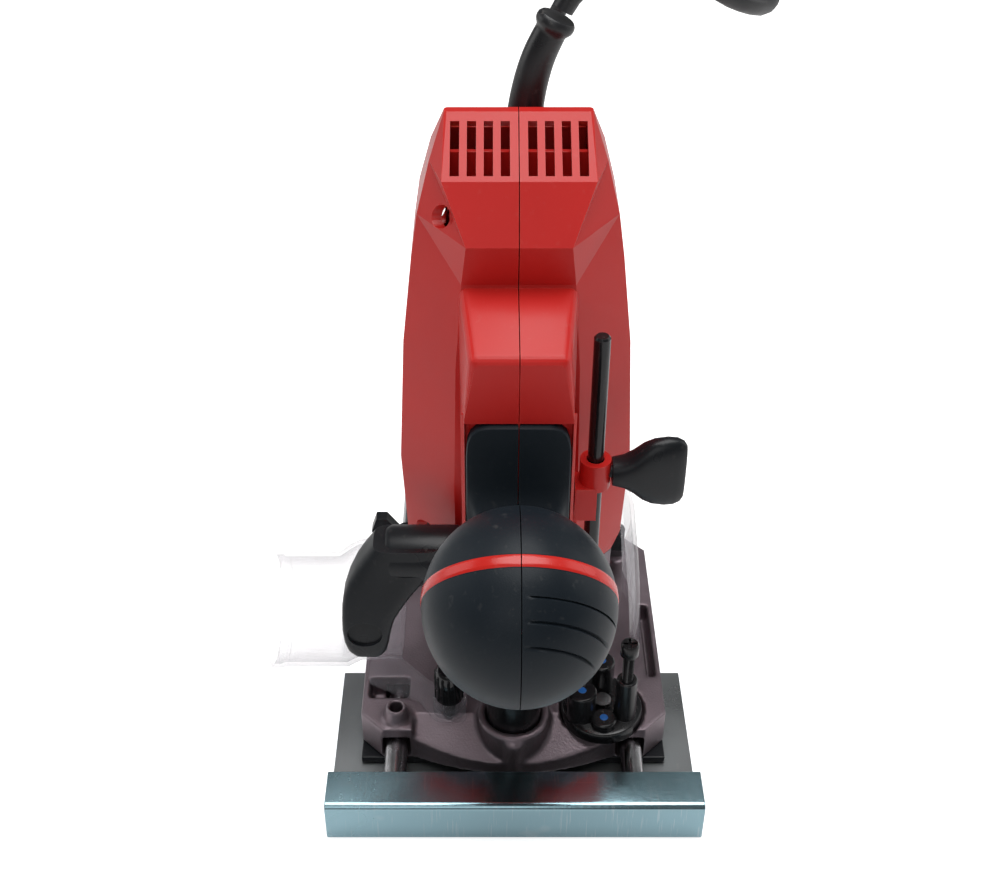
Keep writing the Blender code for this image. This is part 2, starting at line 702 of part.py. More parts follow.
def housing():
    bushes = COLUMN_RADIUS + 2.3 * MM + GAP
    pad_reach = BLOCK_FACE_X + 5 * MM
    cutters = [tool(loft(body_sections(HOUSING_WALL)))]
    for side in (-1, 1):
        bore = drum(COLUMN_RADIUS + 0.6 * MM, HOUSING_BOTTOM - 5 * MM, BORE_TOP, side * COLUMN_X)
        seat = drum(bushes, HOUSING_BOTTOM - 5 * MM, HOUSING_BOTTOM + 16 * MM + GAP, side * COLUMN_X)
        cutters += [tool(bore), tool(seat), tool(vent_slots(side))]
        ends = sorted((side * (BLOCK_FACE_X - PAD_THICKNESS), side * pad_reach))
        pad = block((ends[0], -0.1, HOUSING_BOTTOM - 5 * MM), (ends[1], 0.1, PAD_TOP))
        cutters.append(tool(pad))
    boot_base = Vector((15, -2.2, 214)) * MM
    cutters.append(tool(drum(boot_radius() + GAP, 205 * MM, 240 * MM, boot_base.x, boot_base.y, sides=20)))
    dial_slot = block(
        (26 * MM, -DIAL_THICKNESS / 2 - GAP, DIAL_Z - DIAL_RADIUS - GAP),
        (40 * MM, DIAL_THICKNESS / 2 + GAP, DIAL_Z + DIAL_RADIUS + GAP),
    )
    cutters.append(tool(dial_slot))
    bolt_hole = drum(LOCK_BOLT_RADIUS + GAP, 5 * MM, 25 * MM, -COLUMN_X, LEVER_Z, "Y", sides=20)
    far = 300 * MM
    for half, name in ((-1, "front"), (1, "back")):
        shell = put(f"housing_{name}", loft(body_sections(0)), RED)
        join(shell, tool(handle_block(-1)), tool(handle_block(1)))
        cut(shell, *cutters)
        if half == 1:
            cut(shell, tool(bolt_hole))
        edges = sorted((-half * far, half * GAP / 2))
        cut(shell, tool(block((-far, edges[0], 0), (far, edges[1], far))))



def boot_radius():
    return CORD_DIAMETER / 2 + 2.6 * MM


def bearing_bracket():
    """The plate that closes the barrel and holds the lower bearing."""
    top = HOUSING_BOTTOM - GAP
    corners = [(x, y) for x, y, z in body_sections(0)[0]]
    seat_height = 14 * MM
    bracket = put("bearing_bracket", prism(corners, BRACKET_BOTTOM, top), CASTING)
    join(bracket, tool(drum(BEARING_RADIUS + 4 * MM, top - 3 * MM, top + seat_height)))
    bearing_low = BEARING_Z - BEARING_HEIGHT / 2 - GAP
    seat = drum(BEARING_RADIUS + GAP, bearing_low, top + seat_height + 1 * MM)
    cut(bracket, tool(seat), tool(drum(NOSE_RADIUS + 1 * MM, 50 * MM, top + 5 * MM)))
    lock = drum(SPINDLE_LOCK_RADIUS + GAP, -60 * MM, -NOSE_RADIUS, 0, SPINDLE_LOCK_Z, "Y", sides=20)
    cut(bracket, tool(lock))



def ring(name, outer, inner, low, high, look, steps=32):
    return turned(name, [(outer, high), (outer, low), (inner, low), (inner, high)], look, steps=steps)


def motor():
    """Stator, windings, brushes and bearings."""
    low, high = STATOR_Z - STATOR_LENGTH / 2, STATOR_Z + STATOR_LENGTH / 2
    stator_bore = ARMATURE_DIAMETER / 2 + 1 * MM
    stator = ring("stator_core", STATOR_DIAMETER / 2, stator_bore, low, high, DARK_STEEL, 40)
    coil_in, coil_out, coil_low, coil_high = 11 * MM, 18 * MM, 18.4 * MM, 24 * MM
    overhang = 6 * MM
    for half, name in ((-1, "front"), (1, "back")):
        ends = sorted((half * coil_low, half * coil_high))
        frame = block((-coil_out, ends[0], low - overhang), (coil_out, ends[1], high + overhang))
        window = block((-coil_in, ends[0] - 0.01, low - 1 * MM), (coil_in, ends[1] + 0.01, high + 1 * MM))
        cut(put(f"field_coil_{name}", frame, COPPER), tool(window))
        for side in (-1, 1):
            xs = sorted((side * (coil_in - GAP), side * (coil_out + GAP)))
            slot = block((xs[0], ends[0] - GAP, low - 0.01), (xs[1], ends[1] + GAP, high + 0.01))
            cut(stator, tool(slot))

    shaft_radius = SHAFT_DIAMETER / 2
    holder_low, holder_high = COMMUTATOR_RADIUS + 2 * MM, HOUSING_WIDTH / 2 - BRUSH_SET_BACK
    brush_low, brush_high = COMMUTATOR_RADIUS + GAP, holder_high - 2 * MM
    half_x, half_z, wall = 3 * MM, 5 * MM, 1.2 * MM
    for half, name in ((-1, "front"), (1, "back")):
        ys = sorted((half * brush_low, half * brush_high))
        brush = block((-half_x, ys[0], BRUSH_Z - half_z), (half_x, ys[1], BRUSH_Z + half_z))
        put(f"carbon_brush_{name}", brush, CARBON)
        ys = sorted((half * holder_low, half * holder_high))
        x, z = half_x + GAP + wall, half_z + GAP + wall
        holder = put(f"brush_holder_{name}", block((-x, ys[0], BRUSH_Z - z), (x, ys[1], BRUSH_Z + z)), BRASS)
        x, z = half_x + GAP, half_z + GAP
        cut(holder, tool(block((-x, ys[0] - 0.01, BRUSH_Z - z), (x, ys[1] + 0.01, BRUSH_Z + z))))

    ring("upper_bearing", 13 * MM, shaft_radius + GAP, 205 * MM, 213 * MM, STEEL)
    low, high = BEARING_Z - BEARING_HEIGHT / 2, BEARING_Z + BEARING_HEIGHT / 2
    ring("lower_bearing", BEARING_RADIUS, NOSE_RADIUS + GAP, low, high, STEEL)
    module = block((-27 * MM, -11 * MM, 168 * MM), (-16.5 * MM, 11 * MM, 188 * MM), 1 * MM)
    put("speed_module", module, BLACK)


def rotor():
    """Shaft, armature, commutator, fan, collet and nut, all on the spindle axis."""
    low, high = STATOR_Z - STATOR_LENGTH / 2, STATOR_Z + STATOR_LENGTH / 2
    shaft_radius, core_radius = SHAFT_DIAMETER / 2, SHAFT_DIAMETER / 2 + 1 * MM
    nose_low, cone_top = NUT_BOTTOM + 4.3 * MM, NUT_BOTTOM + 20 * MM
    shaft = [
        (0, 214 * MM),
        (shaft_radius, 214 * MM),
        (shaft_radius, high + 4 * MM),
        (core_radius, high + 4 * MM),
        (core_radius, BEARING_Z + 8 * MM),
        (NOSE_RADIUS, BEARING_Z + 8 * MM),
        (NOSE_RADIUS, nose_low),
        (6.6 * MM, nose_low),
        (4.9 * MM, cone_top),
        (0, cone_top),
    ]
    turned("rotor_shaft", shaft, STEEL)
    ring("armature_core", ARMATURE_DIAMETER / 2, core_radius + GAP, low + 1 * MM, high - 1 * MM, DARK_STEEL)
    ring("commutator", COMMUTATOR_RADIUS, shaft_radius + GAP, BRUSH_Z - 9 * MM, BRUSH_Z + 9 * MM, COPPER)

    hub = ring("fan", 27 * MM, core_radius + GAP, FAN_Z, FAN_Z + 1.8 * MM, BLACK)
    blades = []
    count = 9
    for k in range(count):
        blade = block((9 * MM, -0.9 * MM, FAN_Z + 1 * MM), (26.5 * MM, 0.9 * MM, FAN_Z + 9 * MM))
        turn = Matrix.Rotation(2 * math.pi * k / count, 4, "Z")
        bmesh.ops.transform(blade, matrix=turn, verts=blade.verts)
        blades.append(blade)
    join(hub, tool(merged(*blades)))

    nut_top = NUT_BOTTOM + 15 * MM
    nut = put("collet_nut", drum(12.5 * MM, NUT_BOTTOM, nut_top, sides=6), STEEL)
    cut(nut, tool(drum(NOSE_RADIUS + GAP, nose_low - GAP, nut_top + 1 * MM)))
    cut(nut, tool(drum(5.2 * MM, NUT_BOTTOM - 1 * MM, nose_low, sides=24)))
    collet_radius = COLLET_BORE / 2
    collet = [
        (4.6 * MM, cone_top - 2 * MM),
        (6.2 * MM, nose_low + 0.6 * MM),
        (4.9 * MM, nose_low - 0.2 * MM),
        (4.9 * MM, NUT_BOTTOM + 1 * MM),
        (collet_radius, NUT_BOTTOM + 1 * MM),
        (collet_radius, cone_top - 2 * MM),
    ]
    sleeve = turned("collet", collet, STEEL, steps=24)
    cut(sleeve, tool(block((0, -0.4 * MM, NUT_BOTTOM), (10 * MM, 0.4 * MM, cone_top))))


def handles():
    """Ball grips in two halves each. The pad on the block and the neck belong to them."""
    radius = BALL_DIAMETER / 2
    far = 300 * MM
    face = BLOCK_FACE_X - PAD_THICKNESS + GAP
    for side, name in ((-1, "left"), (1, "right")):
        hollow = tool(ball(radius - BALL_WALL), (side * BALL_X, 0, BALL_Z))
        neck_shapes = [
            (face + 1 * MM, BLOCK_HALF_WIDTH - 0.4 * MM, 118 * MM, 152 * MM),
            (face + 6 * MM, BLOCK_HALF_WIDTH - 1.5 * MM, 113 * MM, 143 * MM),
            (face + 12 * MM, BLOCK_HALF_WIDTH - 2.5 * MM, 108 * MM, 139 * MM),
        ]
        neck = loft(
            [
                [
                    (side * x, -half, low),
                    (side * x, half, low),
                    (side * x, half, high),
                    (side * x, -half, high),
                ]
                for x, half, low, high in neck_shapes
            ]
        )
        ends = sorted((side * face, side * (BLOCK_FACE_X + GAP)))
        pad_half = BLOCK_HALF_WIDTH - 0.3 * MM
        pad = block((ends[0], -pad_half, 108 * MM), (ends[1], pad_half, PAD_TOP - GAP))
        joined = [tool(neck), tool(pad)]
        for half, part in ((-1, "front"), (1, "back")):
            grip = put(f"ball_{name}_{part}", ball(radius), SOFT_BLACK, (side * BALL_X, 0, BALL_Z))
            join(grip, *joined)
            cut(grip, hollow)
            if name == "right":
                cut(grip, *control_holes(half))
            edges = sorted((-half * far, half * GAP / 2))
            cut(grip, tool(block((-far, edges[0], 0), (far, edges[1], far))))


def ball(radius):
    shape = bmesh.new()
    bmesh.ops.create_uvsphere(shape, u_segments=22, v_segments=12, radius=radius)
    bmesh.ops.scale(shape, vec=(1, 0.985, 1.025), verts=shape.verts)
    return shape



def control_holes(half):
    """The openings for the trigger, in the front half, and for the button, in the back half."""
    if half < 0:
        x, z = TRIGGER_HALF
        low = (BALL_X - x - GAP, -40 * MM, BALL_Z - z - GAP)
        return [tool(block(low, (BALL_X + x + GAP, -18 * MM, BALL_Z + z + GAP)))]
    hole = drum(LOCK_ON_RADIUS + GAP, 15 * MM, 40 * MM, BALL_X, BALL_Z + 6 * MM, "Y", sides=20)
    return [tool(hole)]


def controls():
    """Switch, trigger, lock-on button, spindle lock and speed dial."""
    switch_half = 9 * MM
    body = block(
        (BALL_X - 11 * MM, -switch_half, BALL_Z - 12 * MM),
        (BALL_X + 11 * MM, switch_half, BALL_Z + 12 * MM),
        1 * MM,
    )
    put("switch_body", body, BLACK)
    x, z = TRIGGER_HALF
    trigger_in, trigger_out = switch_half + 6 * MM, BALL_DIAMETER / 2 + 2.5 * MM
    paddle = block((-x, -trigger_out, -z), (x, -trigger_in, z), 1.5 * MM)
    put("trigger", paddle, RED, (BALL_X, 0, BALL_Z))
    button_in = switch_half + 4 * MM
    button = drum(LOCK_ON_RADIUS, button_in, BALL_DIAMETER / 2 + 1 * MM, 0, 0, "Y", sides=20)
    put("lock_on_button", button, RED, (BALL_X, 0, BALL_Z + 6 * MM))
    stem = drum(SPINDLE_LOCK_RADIUS, -HOUSING_WIDTH / 2 + 0.5 * MM, -14 * MM, 0, 0, "Y", sides=20)
    put("spindle_lock_button", stem, BLACK, (0, 0, SPINDLE_LOCK_Z))
    dial = drum(DIAL_RADIUS, -DIAL_THICKNESS / 2, DIAL_THICKNESS / 2, 0, 0, "Y", sides=24)
    put("speed_dial", dial, BLACK, (DIAL_X, 0, DIAL_Z))


def depth_stop():
    """The stop rod, the bracket that guides it and the knob that clamps it."""
    rod = drum(DEPTH_ROD_DIAMETER / 2, DEPTH_ROD_FOOT, DEPTH_ROD_TOP, sides=20)
    put("depth_rod", rod, DARK_STEEL, (DEPTH_ROD_X, DEPTH_ROD_Y, 0))
    ring_outer, ring_low, ring_high = 4.9 * MM, 128 * MM, 138 * MM
    block_side = -BLOCK_HALF_WIDTH - 2.0 * MM
    lug = block(
        (DEPTH_ROD_X - 5 * MM, DEPTH_ROD_Y - 0.6 * MM, 117 * MM),
        (DEPTH_ROD_X + 4 * MM, block_side, 129.5 * MM),
    )
    bracket = put("depth_bracket", lug, RED)
    join(bracket, tool(drum(ring_outer, ring_low, ring_high, DEPTH_ROD_X, DEPTH_ROD_Y, sides=28)))
    bore = drum(DEPTH_ROD_DIAMETER / 2 + GAP, 110 * MM, 145 * MM, DEPTH_ROD_X, DEPTH_ROD_Y, sides=20)
    screw_hole = drum(
        2.3 * MM, DEPTH_ROD_Y - 8 * MM, DEPTH_ROD_Y, DEPTH_ROD_X, DEPTH_KNOB_Z, "Y", sides=16
    )
    cut(bracket, tool(bore), tool(screw_hole))

    face = -ring_outer - GAP
    shapes = [
        (face, 4.4 * MM, 4.4 * MM),
        (face - 6 * MM, 5.0 * MM, 6.0 * MM),
        (face - 10 * MM, 4.8 * MM, 11.0 * MM),
        (face - 20 * MM, 4.0 * MM, 12.8 * MM),
        (face - 22.5 * MM, 3.0 * MM, 10.5 * MM),
    ]
    sections = [[(px, y, pz) for px, pz in oval(half_x, half_z, 2.4, 16)] for y, half_x, half_z in shapes]
    at = (DEPTH_ROD_X, DEPTH_ROD_Y, DEPTH_KNOB_Z)
    knob = put("depth_knob", loft(sections), BLACK, at)
    tip = -DEPTH_ROD_DIAMETER / 2 - GAP
    join(knob, tool(drum(2 * MM, face - 2 * MM, tip, 0, 0, "Y", sides=16), at))


def lock_lever():
    """The lever whose bolt presses on the left column."""
    hub_low, hub_high = BLOCK_HALF_WIDTH + 3 * MM, 42 * MM
    at = (-COLUMN_X, 0, LEVER_Z)
    hub = drum(LEVER_HUB_DIAMETER / 2, hub_low, hub_high, 0, 0, "Y", sides=28)
    lever = put("lock_lever", hub, BLACK, at)
    shapes = [
        (6 * MM, (-9 * MM, 6 * MM), (24 * MM, 44.5 * MM)),
        (-1 * MM, (-10 * MM, 5 * MM), (24 * MM, 50.5 * MM)),
        (-8 * MM, (-12 * MM, -1 * MM), (31.5 * MM, 54.5 * MM)),
        (-16 * MM, (-15 * MM, -5 * MM), (37.5 * MM, 56.5 * MM)),
        (-26 * MM, (-18 * MM, -8 * MM), (41.5 * MM, 56.5 * MM)),
        (-30 * MM, (-18 * MM, -9 * MM), (43 * MM, 54.5 * MM)),
    ]
    sections = []
    for z, (x0, x1), (y0, y1) in shapes:
        sections.append([(x0, y0, z), (x1, y0, z), (x1, y1, z), (x0, y1, z)])
    join(lever, tool(loft(sections), at))
    bolt_low, bolt_high = COLUMN_RADIUS + GAP, 27 * MM
    hole = drum(LOCK_BOLT_RADIUS + GAP, hub_low - 1 * MM, bolt_high + GAP, 0, 0, "Y", sides=20)
    cut(lever, tool(hole, at))
    bolt = drum(LOCK_BOLT_RADIUS, bolt_low, bolt_high, 0, 0, "Y", sides=20)
    put("lock_bolt", bolt, STEEL, at)


def cord():
    """The lead: its boot, the stretch to the coil behind the router, the coil, and the plug."""
    route = [
        Vector(point) * MM
        for point in (
            (16.4, -13.0, 256.6),
            (17.0, -17.0, 262.0),
            (18.5, -27.0, 268.3),
            (20.0, -40.0, 269.5),
            (22.0, -52.0, 264.8),
            (27.0, -64.0, 256.5),
            (38.0, -75.0, 250.0),
            (56.0, -81.0, 247.0),
            (80.0, -79.0, 245.0),
            (104.0, -67.0, 243.0),
            (124.0, -46.0, 238.0),
            (137.0, -25.0, 223.0),
            (140.5, -12.5, 198.0),
            (140.0, -5.5, 168.0),
            (139.5, -3.5, 130.0),
            (139.0, -3.0, 90.0),
            (138.5, -4.0, 62.0),
            (137.5, -9.0, 43.0),
            (136.5, -16.5, 31.5),
            (137.5, -26.0, 25.0),
            (144.0, -34.5, 24.0),
            (155.5, -40.0, 24.0),
        )
    ]
    path = smooth_path(route, 2)
    tube("cord_run", path, [CORD_DIAMETER / 2] * len(path), RUBBER)

    boot_path = smooth_path(
        [
            Vector((15, -2.2, 214)) * MM,
            Vector((15, -2.4, 226)) * MM,
            Vector((15.6, -5.6, 241)) * MM,
            Vector((16.2, -11.6, 254.7)) * MM,
        ],
        3,
    )
    start, tip = boot_radius(), CORD_DIAMETER / 2 + 1.4 * MM
    radii = [start + (tip - start) * k / (len(boot_path) - 1) for k in range(len(boot_path))]
    radii[-1] = radii[-2] = tip + 1.4 * MM
    tube("cord_boot", boot_path, radii, RUBBER, 4)

    half = COIL_LAYERS * CORD_DIAMETER / 2 + 0.2 * MM
    outer, inner = COIL_MEAN_RADIUS + half, COIL_MEAN_RADIUS - half
    top = COIL_LAYERS * CORD_DIAMETER + 0.4 * MM
    edge = 3 * MM
    profile = [
        (outer - edge, top),
        (outer, top - edge),
        (outer, edge),
        (outer - edge, 0),
        (inner + edge, 0),
        (inner, edge),
        (inner, top - edge),
        (inner + edge, top),
    ]
    turned("cord_coil", profile, RUBBER, (COIL_X, COIL_Y, 0), steps=28)

    outward = Vector((math.cos(COIL_LEAVES), math.sin(COIL_LEAVES), 0))
    along = Vector((-outward.y, outward.x, 0))
    turn_radius = outer - CORD_DIAMETER / 2
    tangent = Vector((COIL_X, COIL_Y, 0)) + turn_radius * outward
    clear = math.sqrt(outer**2 - turn_radius**2) + CORD_DIAMETER
    height = CORD_DIAMETER / 2 + GAP
    first = tangent + along * clear + Vector((0, 0, height))
    lifted = PLUG_THICKNESS / 2 + GAP
    last = first + along * TAIL_LENGTH + Vector((0, 0, lifted - height))
    tail = smooth_path([first, first + along * 4 * MM, last - along * 8 * MM, last - along * 3 * MM], 2)
    tail.append(last)
    tube("cord_tail", tail, [CORD_DIAMETER / 2] * len(tail), RUBBER)
    plug(last + along * GAP, along)



def plug(at, along):
    """A moulded two-pin plug, with a tapered sleeve where the cord enters."""
    shapes = [
        (0, 4.4 * MM, 4.4 * MM, 2.0),
        (14 * MM, 5.6 * MM, 5.6 * MM, 2.0),
        (20 * MM, PLUG_WIDTH / 2 * 0.7, PLUG_THICKNESS / 2 * 0.9, 2.6),
        (34 * MM, PLUG_WIDTH / 2, PLUG_THICKNESS / 2, 2.6),
        (46 * MM, PLUG_WIDTH / 2, PLUG_THICKNESS / 2, 2.6),
    ]
    sections = []
    for reach, width, height, power in shapes:
        sections.append([(reach, px, pz) for px, pz in oval(width, height, power, 20)])
    turn = Matrix.Rotation(math.atan2(along.y, along.x), 4, "Z")
    body = put("plug_body", loft(sections), RUBBER, at, turn)
    for side in (-1, 1):
        pin = tool(drum(2.4 * MM, 44 * MM, 64 * MM, side * 9.5 * MM, 0, "X", sides=16), at)
        pin.rotation_euler = turn.to_euler()
        join(body, pin)


base_casting()
sole_plate()
columns()
fence()
wing_screws()
turret()
chip_guard()
dust_adapter()
housing()
bearing_bracket()
motor()
rotor()
handles()
controls()
depth_stop()
lock_lever()
cord()
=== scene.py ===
import json
import math

import bmesh
import bpy
from mathutils import Matrix, Vector


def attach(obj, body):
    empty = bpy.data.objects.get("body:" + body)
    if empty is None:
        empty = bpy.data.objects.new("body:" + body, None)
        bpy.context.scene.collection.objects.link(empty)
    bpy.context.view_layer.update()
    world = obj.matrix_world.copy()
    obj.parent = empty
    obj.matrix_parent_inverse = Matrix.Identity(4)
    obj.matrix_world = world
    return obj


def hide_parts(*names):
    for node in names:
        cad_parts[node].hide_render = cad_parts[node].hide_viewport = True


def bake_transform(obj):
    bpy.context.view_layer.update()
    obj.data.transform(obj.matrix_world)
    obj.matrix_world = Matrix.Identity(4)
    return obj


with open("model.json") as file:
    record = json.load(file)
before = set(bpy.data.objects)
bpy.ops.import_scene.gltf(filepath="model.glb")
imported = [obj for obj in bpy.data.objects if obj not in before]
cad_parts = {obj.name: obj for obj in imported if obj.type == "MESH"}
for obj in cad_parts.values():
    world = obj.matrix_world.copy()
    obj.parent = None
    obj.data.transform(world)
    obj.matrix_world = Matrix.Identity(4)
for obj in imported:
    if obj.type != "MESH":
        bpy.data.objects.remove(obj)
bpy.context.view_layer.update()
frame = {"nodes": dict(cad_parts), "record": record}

mm = 0.001
spindleY = -13.0  # the spindle stands this far in front of the middle of the footprint, in mm
seam = 0.15  # half of the line between two moulded halves


# The camera, the floor and the light.

cameraSet = {
    "place": (-0.387, -0.0044, 0.404),
    "tilt": 53,
    "heading": -90,
    "lens": 50.4,
    "shift": 0.0105,
}
lightSet = {
    "top": {"place": (0.04, -0.05, 1.2), "aim": (0, 0, 0.1), "size": 0.9, "power": 11.5},
    "right": {"place": (0.25, -0.95, 0.5), "aim": (0, 0, 0.1), "size": 0.7, "power": 1.8},
    "left": {"place": (0.3, 0.95, 0.5), "aim": (0, 0, 0.1), "size": 0.7, "power": 1.8},
    "front": {"place": (-0.95, 0.2, 0.7), "aim": (0, 0, 0.1), "size": 0.6, "power": 1.2},
}


def makeCamera():
    data = bpy.data.cameras.new("camera")
    data.lens = cameraSet["lens"]
    data.sensor_width = 36
    data.shift_x = cameraSet["shift"]
    data.clip_start = 0.01
    camera = bpy.data.objects.new("camera", data)
    camera.location = cameraSet["place"]
    camera.rotation_euler = (math.radians(cameraSet["tilt"]), 0, math.radians(cameraSet["heading"]))
    bpy.context.collection.objects.link(camera)
    bpy.context.scene.camera = camera


def makeStage():
    bpy.context.scene.view_settings.view_transform = "Standard"
    world = bpy.data.worlds.new("paleRoom")
    world.use_nodes = True
    nodes, links = world.node_tree.nodes, world.node_tree.links
    background = nodes["Background"]
    seen = nodes.new("ShaderNodeLightPath")
    strength = nodes.new("ShaderNodeMapRange")
    strength.inputs["To Min"].default_value = 0.15
    strength.inputs["To Max"].default_value = 1.0
    background.inputs["Color"].default_value = (1, 1, 1, 1)
    links.new(seen.outputs["Is Camera Ray"], strength.inputs["Value"])
    links.new(strength.outputs["Result"], background.inputs["Strength"])
    bpy.context.scene.world = world

    for name, setting in lightSet.items():
        data = bpy.data.lights.new(name, "AREA")
        data.shape = "SQUARE"
        data.size = setting["size"]
        data.energy = setting["power"]
        lamp = bpy.data.objects.new(name + "Lamp", data)
        lamp.location = setting["place"]
        aim = Vector(setting["aim"]) - lamp.location
        lamp.rotation_euler = aim.to_track_quat("-Z", "Y").to_euler()
        bpy.context.collection.objects.link(lamp)

    bm = bmesh.new()
    bmesh.ops.create_grid(bm, x_segments=1, y_segments=1, size=4)
    mesh = bpy.data.meshes.new("floor")
    bm.to_mesh(mesh)
    bm.free()
    pale = bpy.data.materials.new("paleFloor")
    pale.use_nodes = True
    shader = pale.node_tree.nodes["Principled BSDF"]
    shader.inputs["Base Color"].default_value = (0.9, 0.9, 0.9, 1)
    shader.inputs["Roughness"].default_value = 0.7
    shader.inputs["Emission Color"].default_value = (1, 1, 1, 1)
    watched = pale.node_tree.nodes.new("ShaderNodeLightPath")
    glow = pale.node_tree.nodes.new("ShaderNodeMapRange")
    glow.inputs["To Min"].default_value = 0.16
    glow.inputs["To Max"].default_value = 0.75
    pale.node_tree.links.new(watched.outputs["Is Camera Ray"], glow.inputs["Value"])
    pale.node_tree.links.new(glow.outputs["Result"], shader.inputs["Emission Strength"])
    mesh.materials.append(pale)
    floor = bpy.data.objects.new("floor", mesh)
    floor.location = (0, 0, -0.0005)
    bpy.context.collection.objects.link(floor)


makeCamera()
makeStage()
print("camera, floor and light are ready")


# Effects that the finishes share: each group gives out one mask, tone or height.

def newGroup(name, takes, gives):
    tree = bpy.data.node_groups.new(name, "ShaderNodeTree")
    for label, value in takes:
        socket = tree.interface.new_socket(name=label, in_out="INPUT", socket_type="NodeSocketFloat")
        socket.default_value = value
    for label in gives:
        tree.interface.new_socket(name=label, in_out="OUTPUT", socket_type="NodeSocketFloat")
    return tree, tree.nodes.new("NodeGroupInput"), tree.nodes.new("NodeGroupOutput")


def noiseIn(tree, scaleFrom, detail):
    place = tree.nodes.new("ShaderNodeTexCoord")
    noise = tree.nodes.new("ShaderNodeTexNoise")
    noise.inputs["Detail"].default_value = detail
    tree.links.new(place.outputs["Object"], noise.inputs["Vector"])
    tree.links.new(scaleFrom, noise.inputs["Scale"])
    return noise


def ranged(tree, value, low, high, toLow, toHigh):
    node = tree.nodes.new("ShaderNodeMapRange")
    sockets = ("Value", "From Min", "From Max", "To Min", "To Max")
    for socket, setting in zip(sockets, (value, low, high, toLow, toHigh)):
        if hasattr(setting, "is_linked"):
            tree.links.new(setting, node.inputs[socket])
        else:
            node.inputs[socket].default_value = setting
    return node.outputs["Result"]


def maths(tree, operation, first, second):
    node = tree.nodes.new("ShaderNodeMath")
    node.operation = operation
    for socket, setting in zip(node.inputs, (first, second)):
        if hasattr(setting, "is_linked"):
            tree.links.new(setting, socket)
        else:
            socket.default_value = setting
    return node.outputs[0]


def driftGroup():  # slow change of tone over a surface
    tree, takes, gives = newGroup("toneDrift", [("Scale", 20), ("Amount", 0.1)], ["Tone"])
    noise = noiseIn(tree, takes.outputs["Scale"], 3)
    low = maths(tree, "MULTIPLY", takes.outputs["Amount"], -1.0)
    tone = ranged(tree, noise.outputs["Fac"], 0.3, 0.7, low, takes.outputs["Amount"])
    tree.links.new(tone, gives.inputs["Tone"])
    return tree


def grainGroup():  # fine pimples of a moulded or cast skin
    tree, takes, gives = newGroup("skinGrain", [("Scale", 900), ("Depth", 1)], ["Height"])
    noise = noiseIn(tree, takes.outputs["Scale"], 2)
    height = maths(tree, "MULTIPLY", noise.outputs["Fac"], takes.outputs["Depth"])
    tree.links.new(height, gives.inputs["Height"])
    return tree


def wearAndPaintedLightGroup():  # mask of the outer edges, used both for rubbed-off wear and for painted light: a painted highlight on plastic edges, painted shade on clear edges
    tree, takes, gives = newGroup("edgeWear", [("Radius", 0.001), ("Amount", 0.5), ("Scale", 150)], ["Wear"])
    rounded = tree.nodes.new("ShaderNodeBevel")
    rounded.samples = 4
    tree.links.new(takes.outputs["Radius"], rounded.inputs["Radius"])
    surface = tree.nodes.new("ShaderNodeNewGeometry")
    dot = tree.nodes.new("ShaderNodeVectorMath")
    dot.operation = "DOT_PRODUCT"
    tree.links.new(rounded.outputs["Normal"], dot.inputs[0])
    tree.links.new(surface.outputs["Normal"], dot.inputs[1])
    edge = ranged(tree, dot.outputs["Value"], 0.995, 0.86, 0.0, 1.0)
    noise = noiseIn(tree, takes.outputs["Scale"], 4)
    broken = ranged(tree, noise.outputs["Fac"], 0.4, 0.62, 0.25, 1.0)
    wearAndPaintedLight = maths(tree, "MULTIPLY", maths(tree, "MULTIPLY", edge, broken), takes.outputs["Amount"])
    tree.links.new(wearAndPaintedLight, gives.inputs["Wear"])
    return tree


def dustGroup():  # pale specks that lie on the faces that look up
    tree, takes, gives = newGroup("workshopDust", [("Amount", 0.2), ("Scale", 260)], ["Dust"])
    surface = tree.nodes.new("ShaderNodeNewGeometry")
    parts = tree.nodes.new("ShaderNodeSeparateXYZ")
    tree.links.new(surface.outputs["Normal"], parts.inputs["Vector"])
    up = ranged(tree, parts.outputs["Z"], 0.1, 0.95, 0.25, 1.0)
    noise = noiseIn(tree, takes.outputs["Scale"], 6)
    specks = ranged(tree, noise.outputs["Fac"], 0.62, 0.78, 0.0, 1.0)
    dust = maths(tree, "MULTIPLY", maths(tree, "MULTIPLY", up, specks), takes.outputs["Amount"])
    tree.links.new(dust, gives.inputs["Dust"])
    return tree


def scratchGroup():  # fine rubbed lines on bare metal
    tree, takes, gives = newGroup("rubbedLines", [("Amount", 0.3), ("Scale", 60)], ["Line"])
    place = tree.nodes.new("ShaderNodeTexCoord")
    lines = None
    for turn, stretch in ((0.35, (1, 18, 1)), (1.2, (1, 26, 1)), (-0.5, (22, 1, 1))):
        mapping = tree.nodes.new("ShaderNodeMapping")
        mapping.inputs["Rotation"].default_value = (0, 0, turn)
        mapping.inputs["Scale"].default_value = stretch
        tree.links.new(place.outputs["Object"], mapping.inputs["Vector"])
        noise = tree.nodes.new("ShaderNodeTexNoise")
        noise.inputs["Detail"].default_value = 1
        tree.links.new(mapping.outputs["Vector"], noise.inputs["Vector"])
        tree.links.new(takes.outputs["Scale"], noise.inputs["Scale"])
        one = ranged(tree, noise.outputs["Fac"], 0.66, 0.72, 0.0, 1.0)
        lines = one if lines is None else maths(tree, "MAXIMUM", lines, one)
    tree.links.new(maths(tree, "MULTIPLY", lines, takes.outputs["Amount"]), gives.inputs["Line"])
    return tree


effects = {
    "drift": driftGroup(),
    "grain": grainGroup(),
    "wearAndPaintedLight": wearAndPaintedLightGroup(),
    "dust": dustGroup(),
    "scratch": scratchGroup(),
}
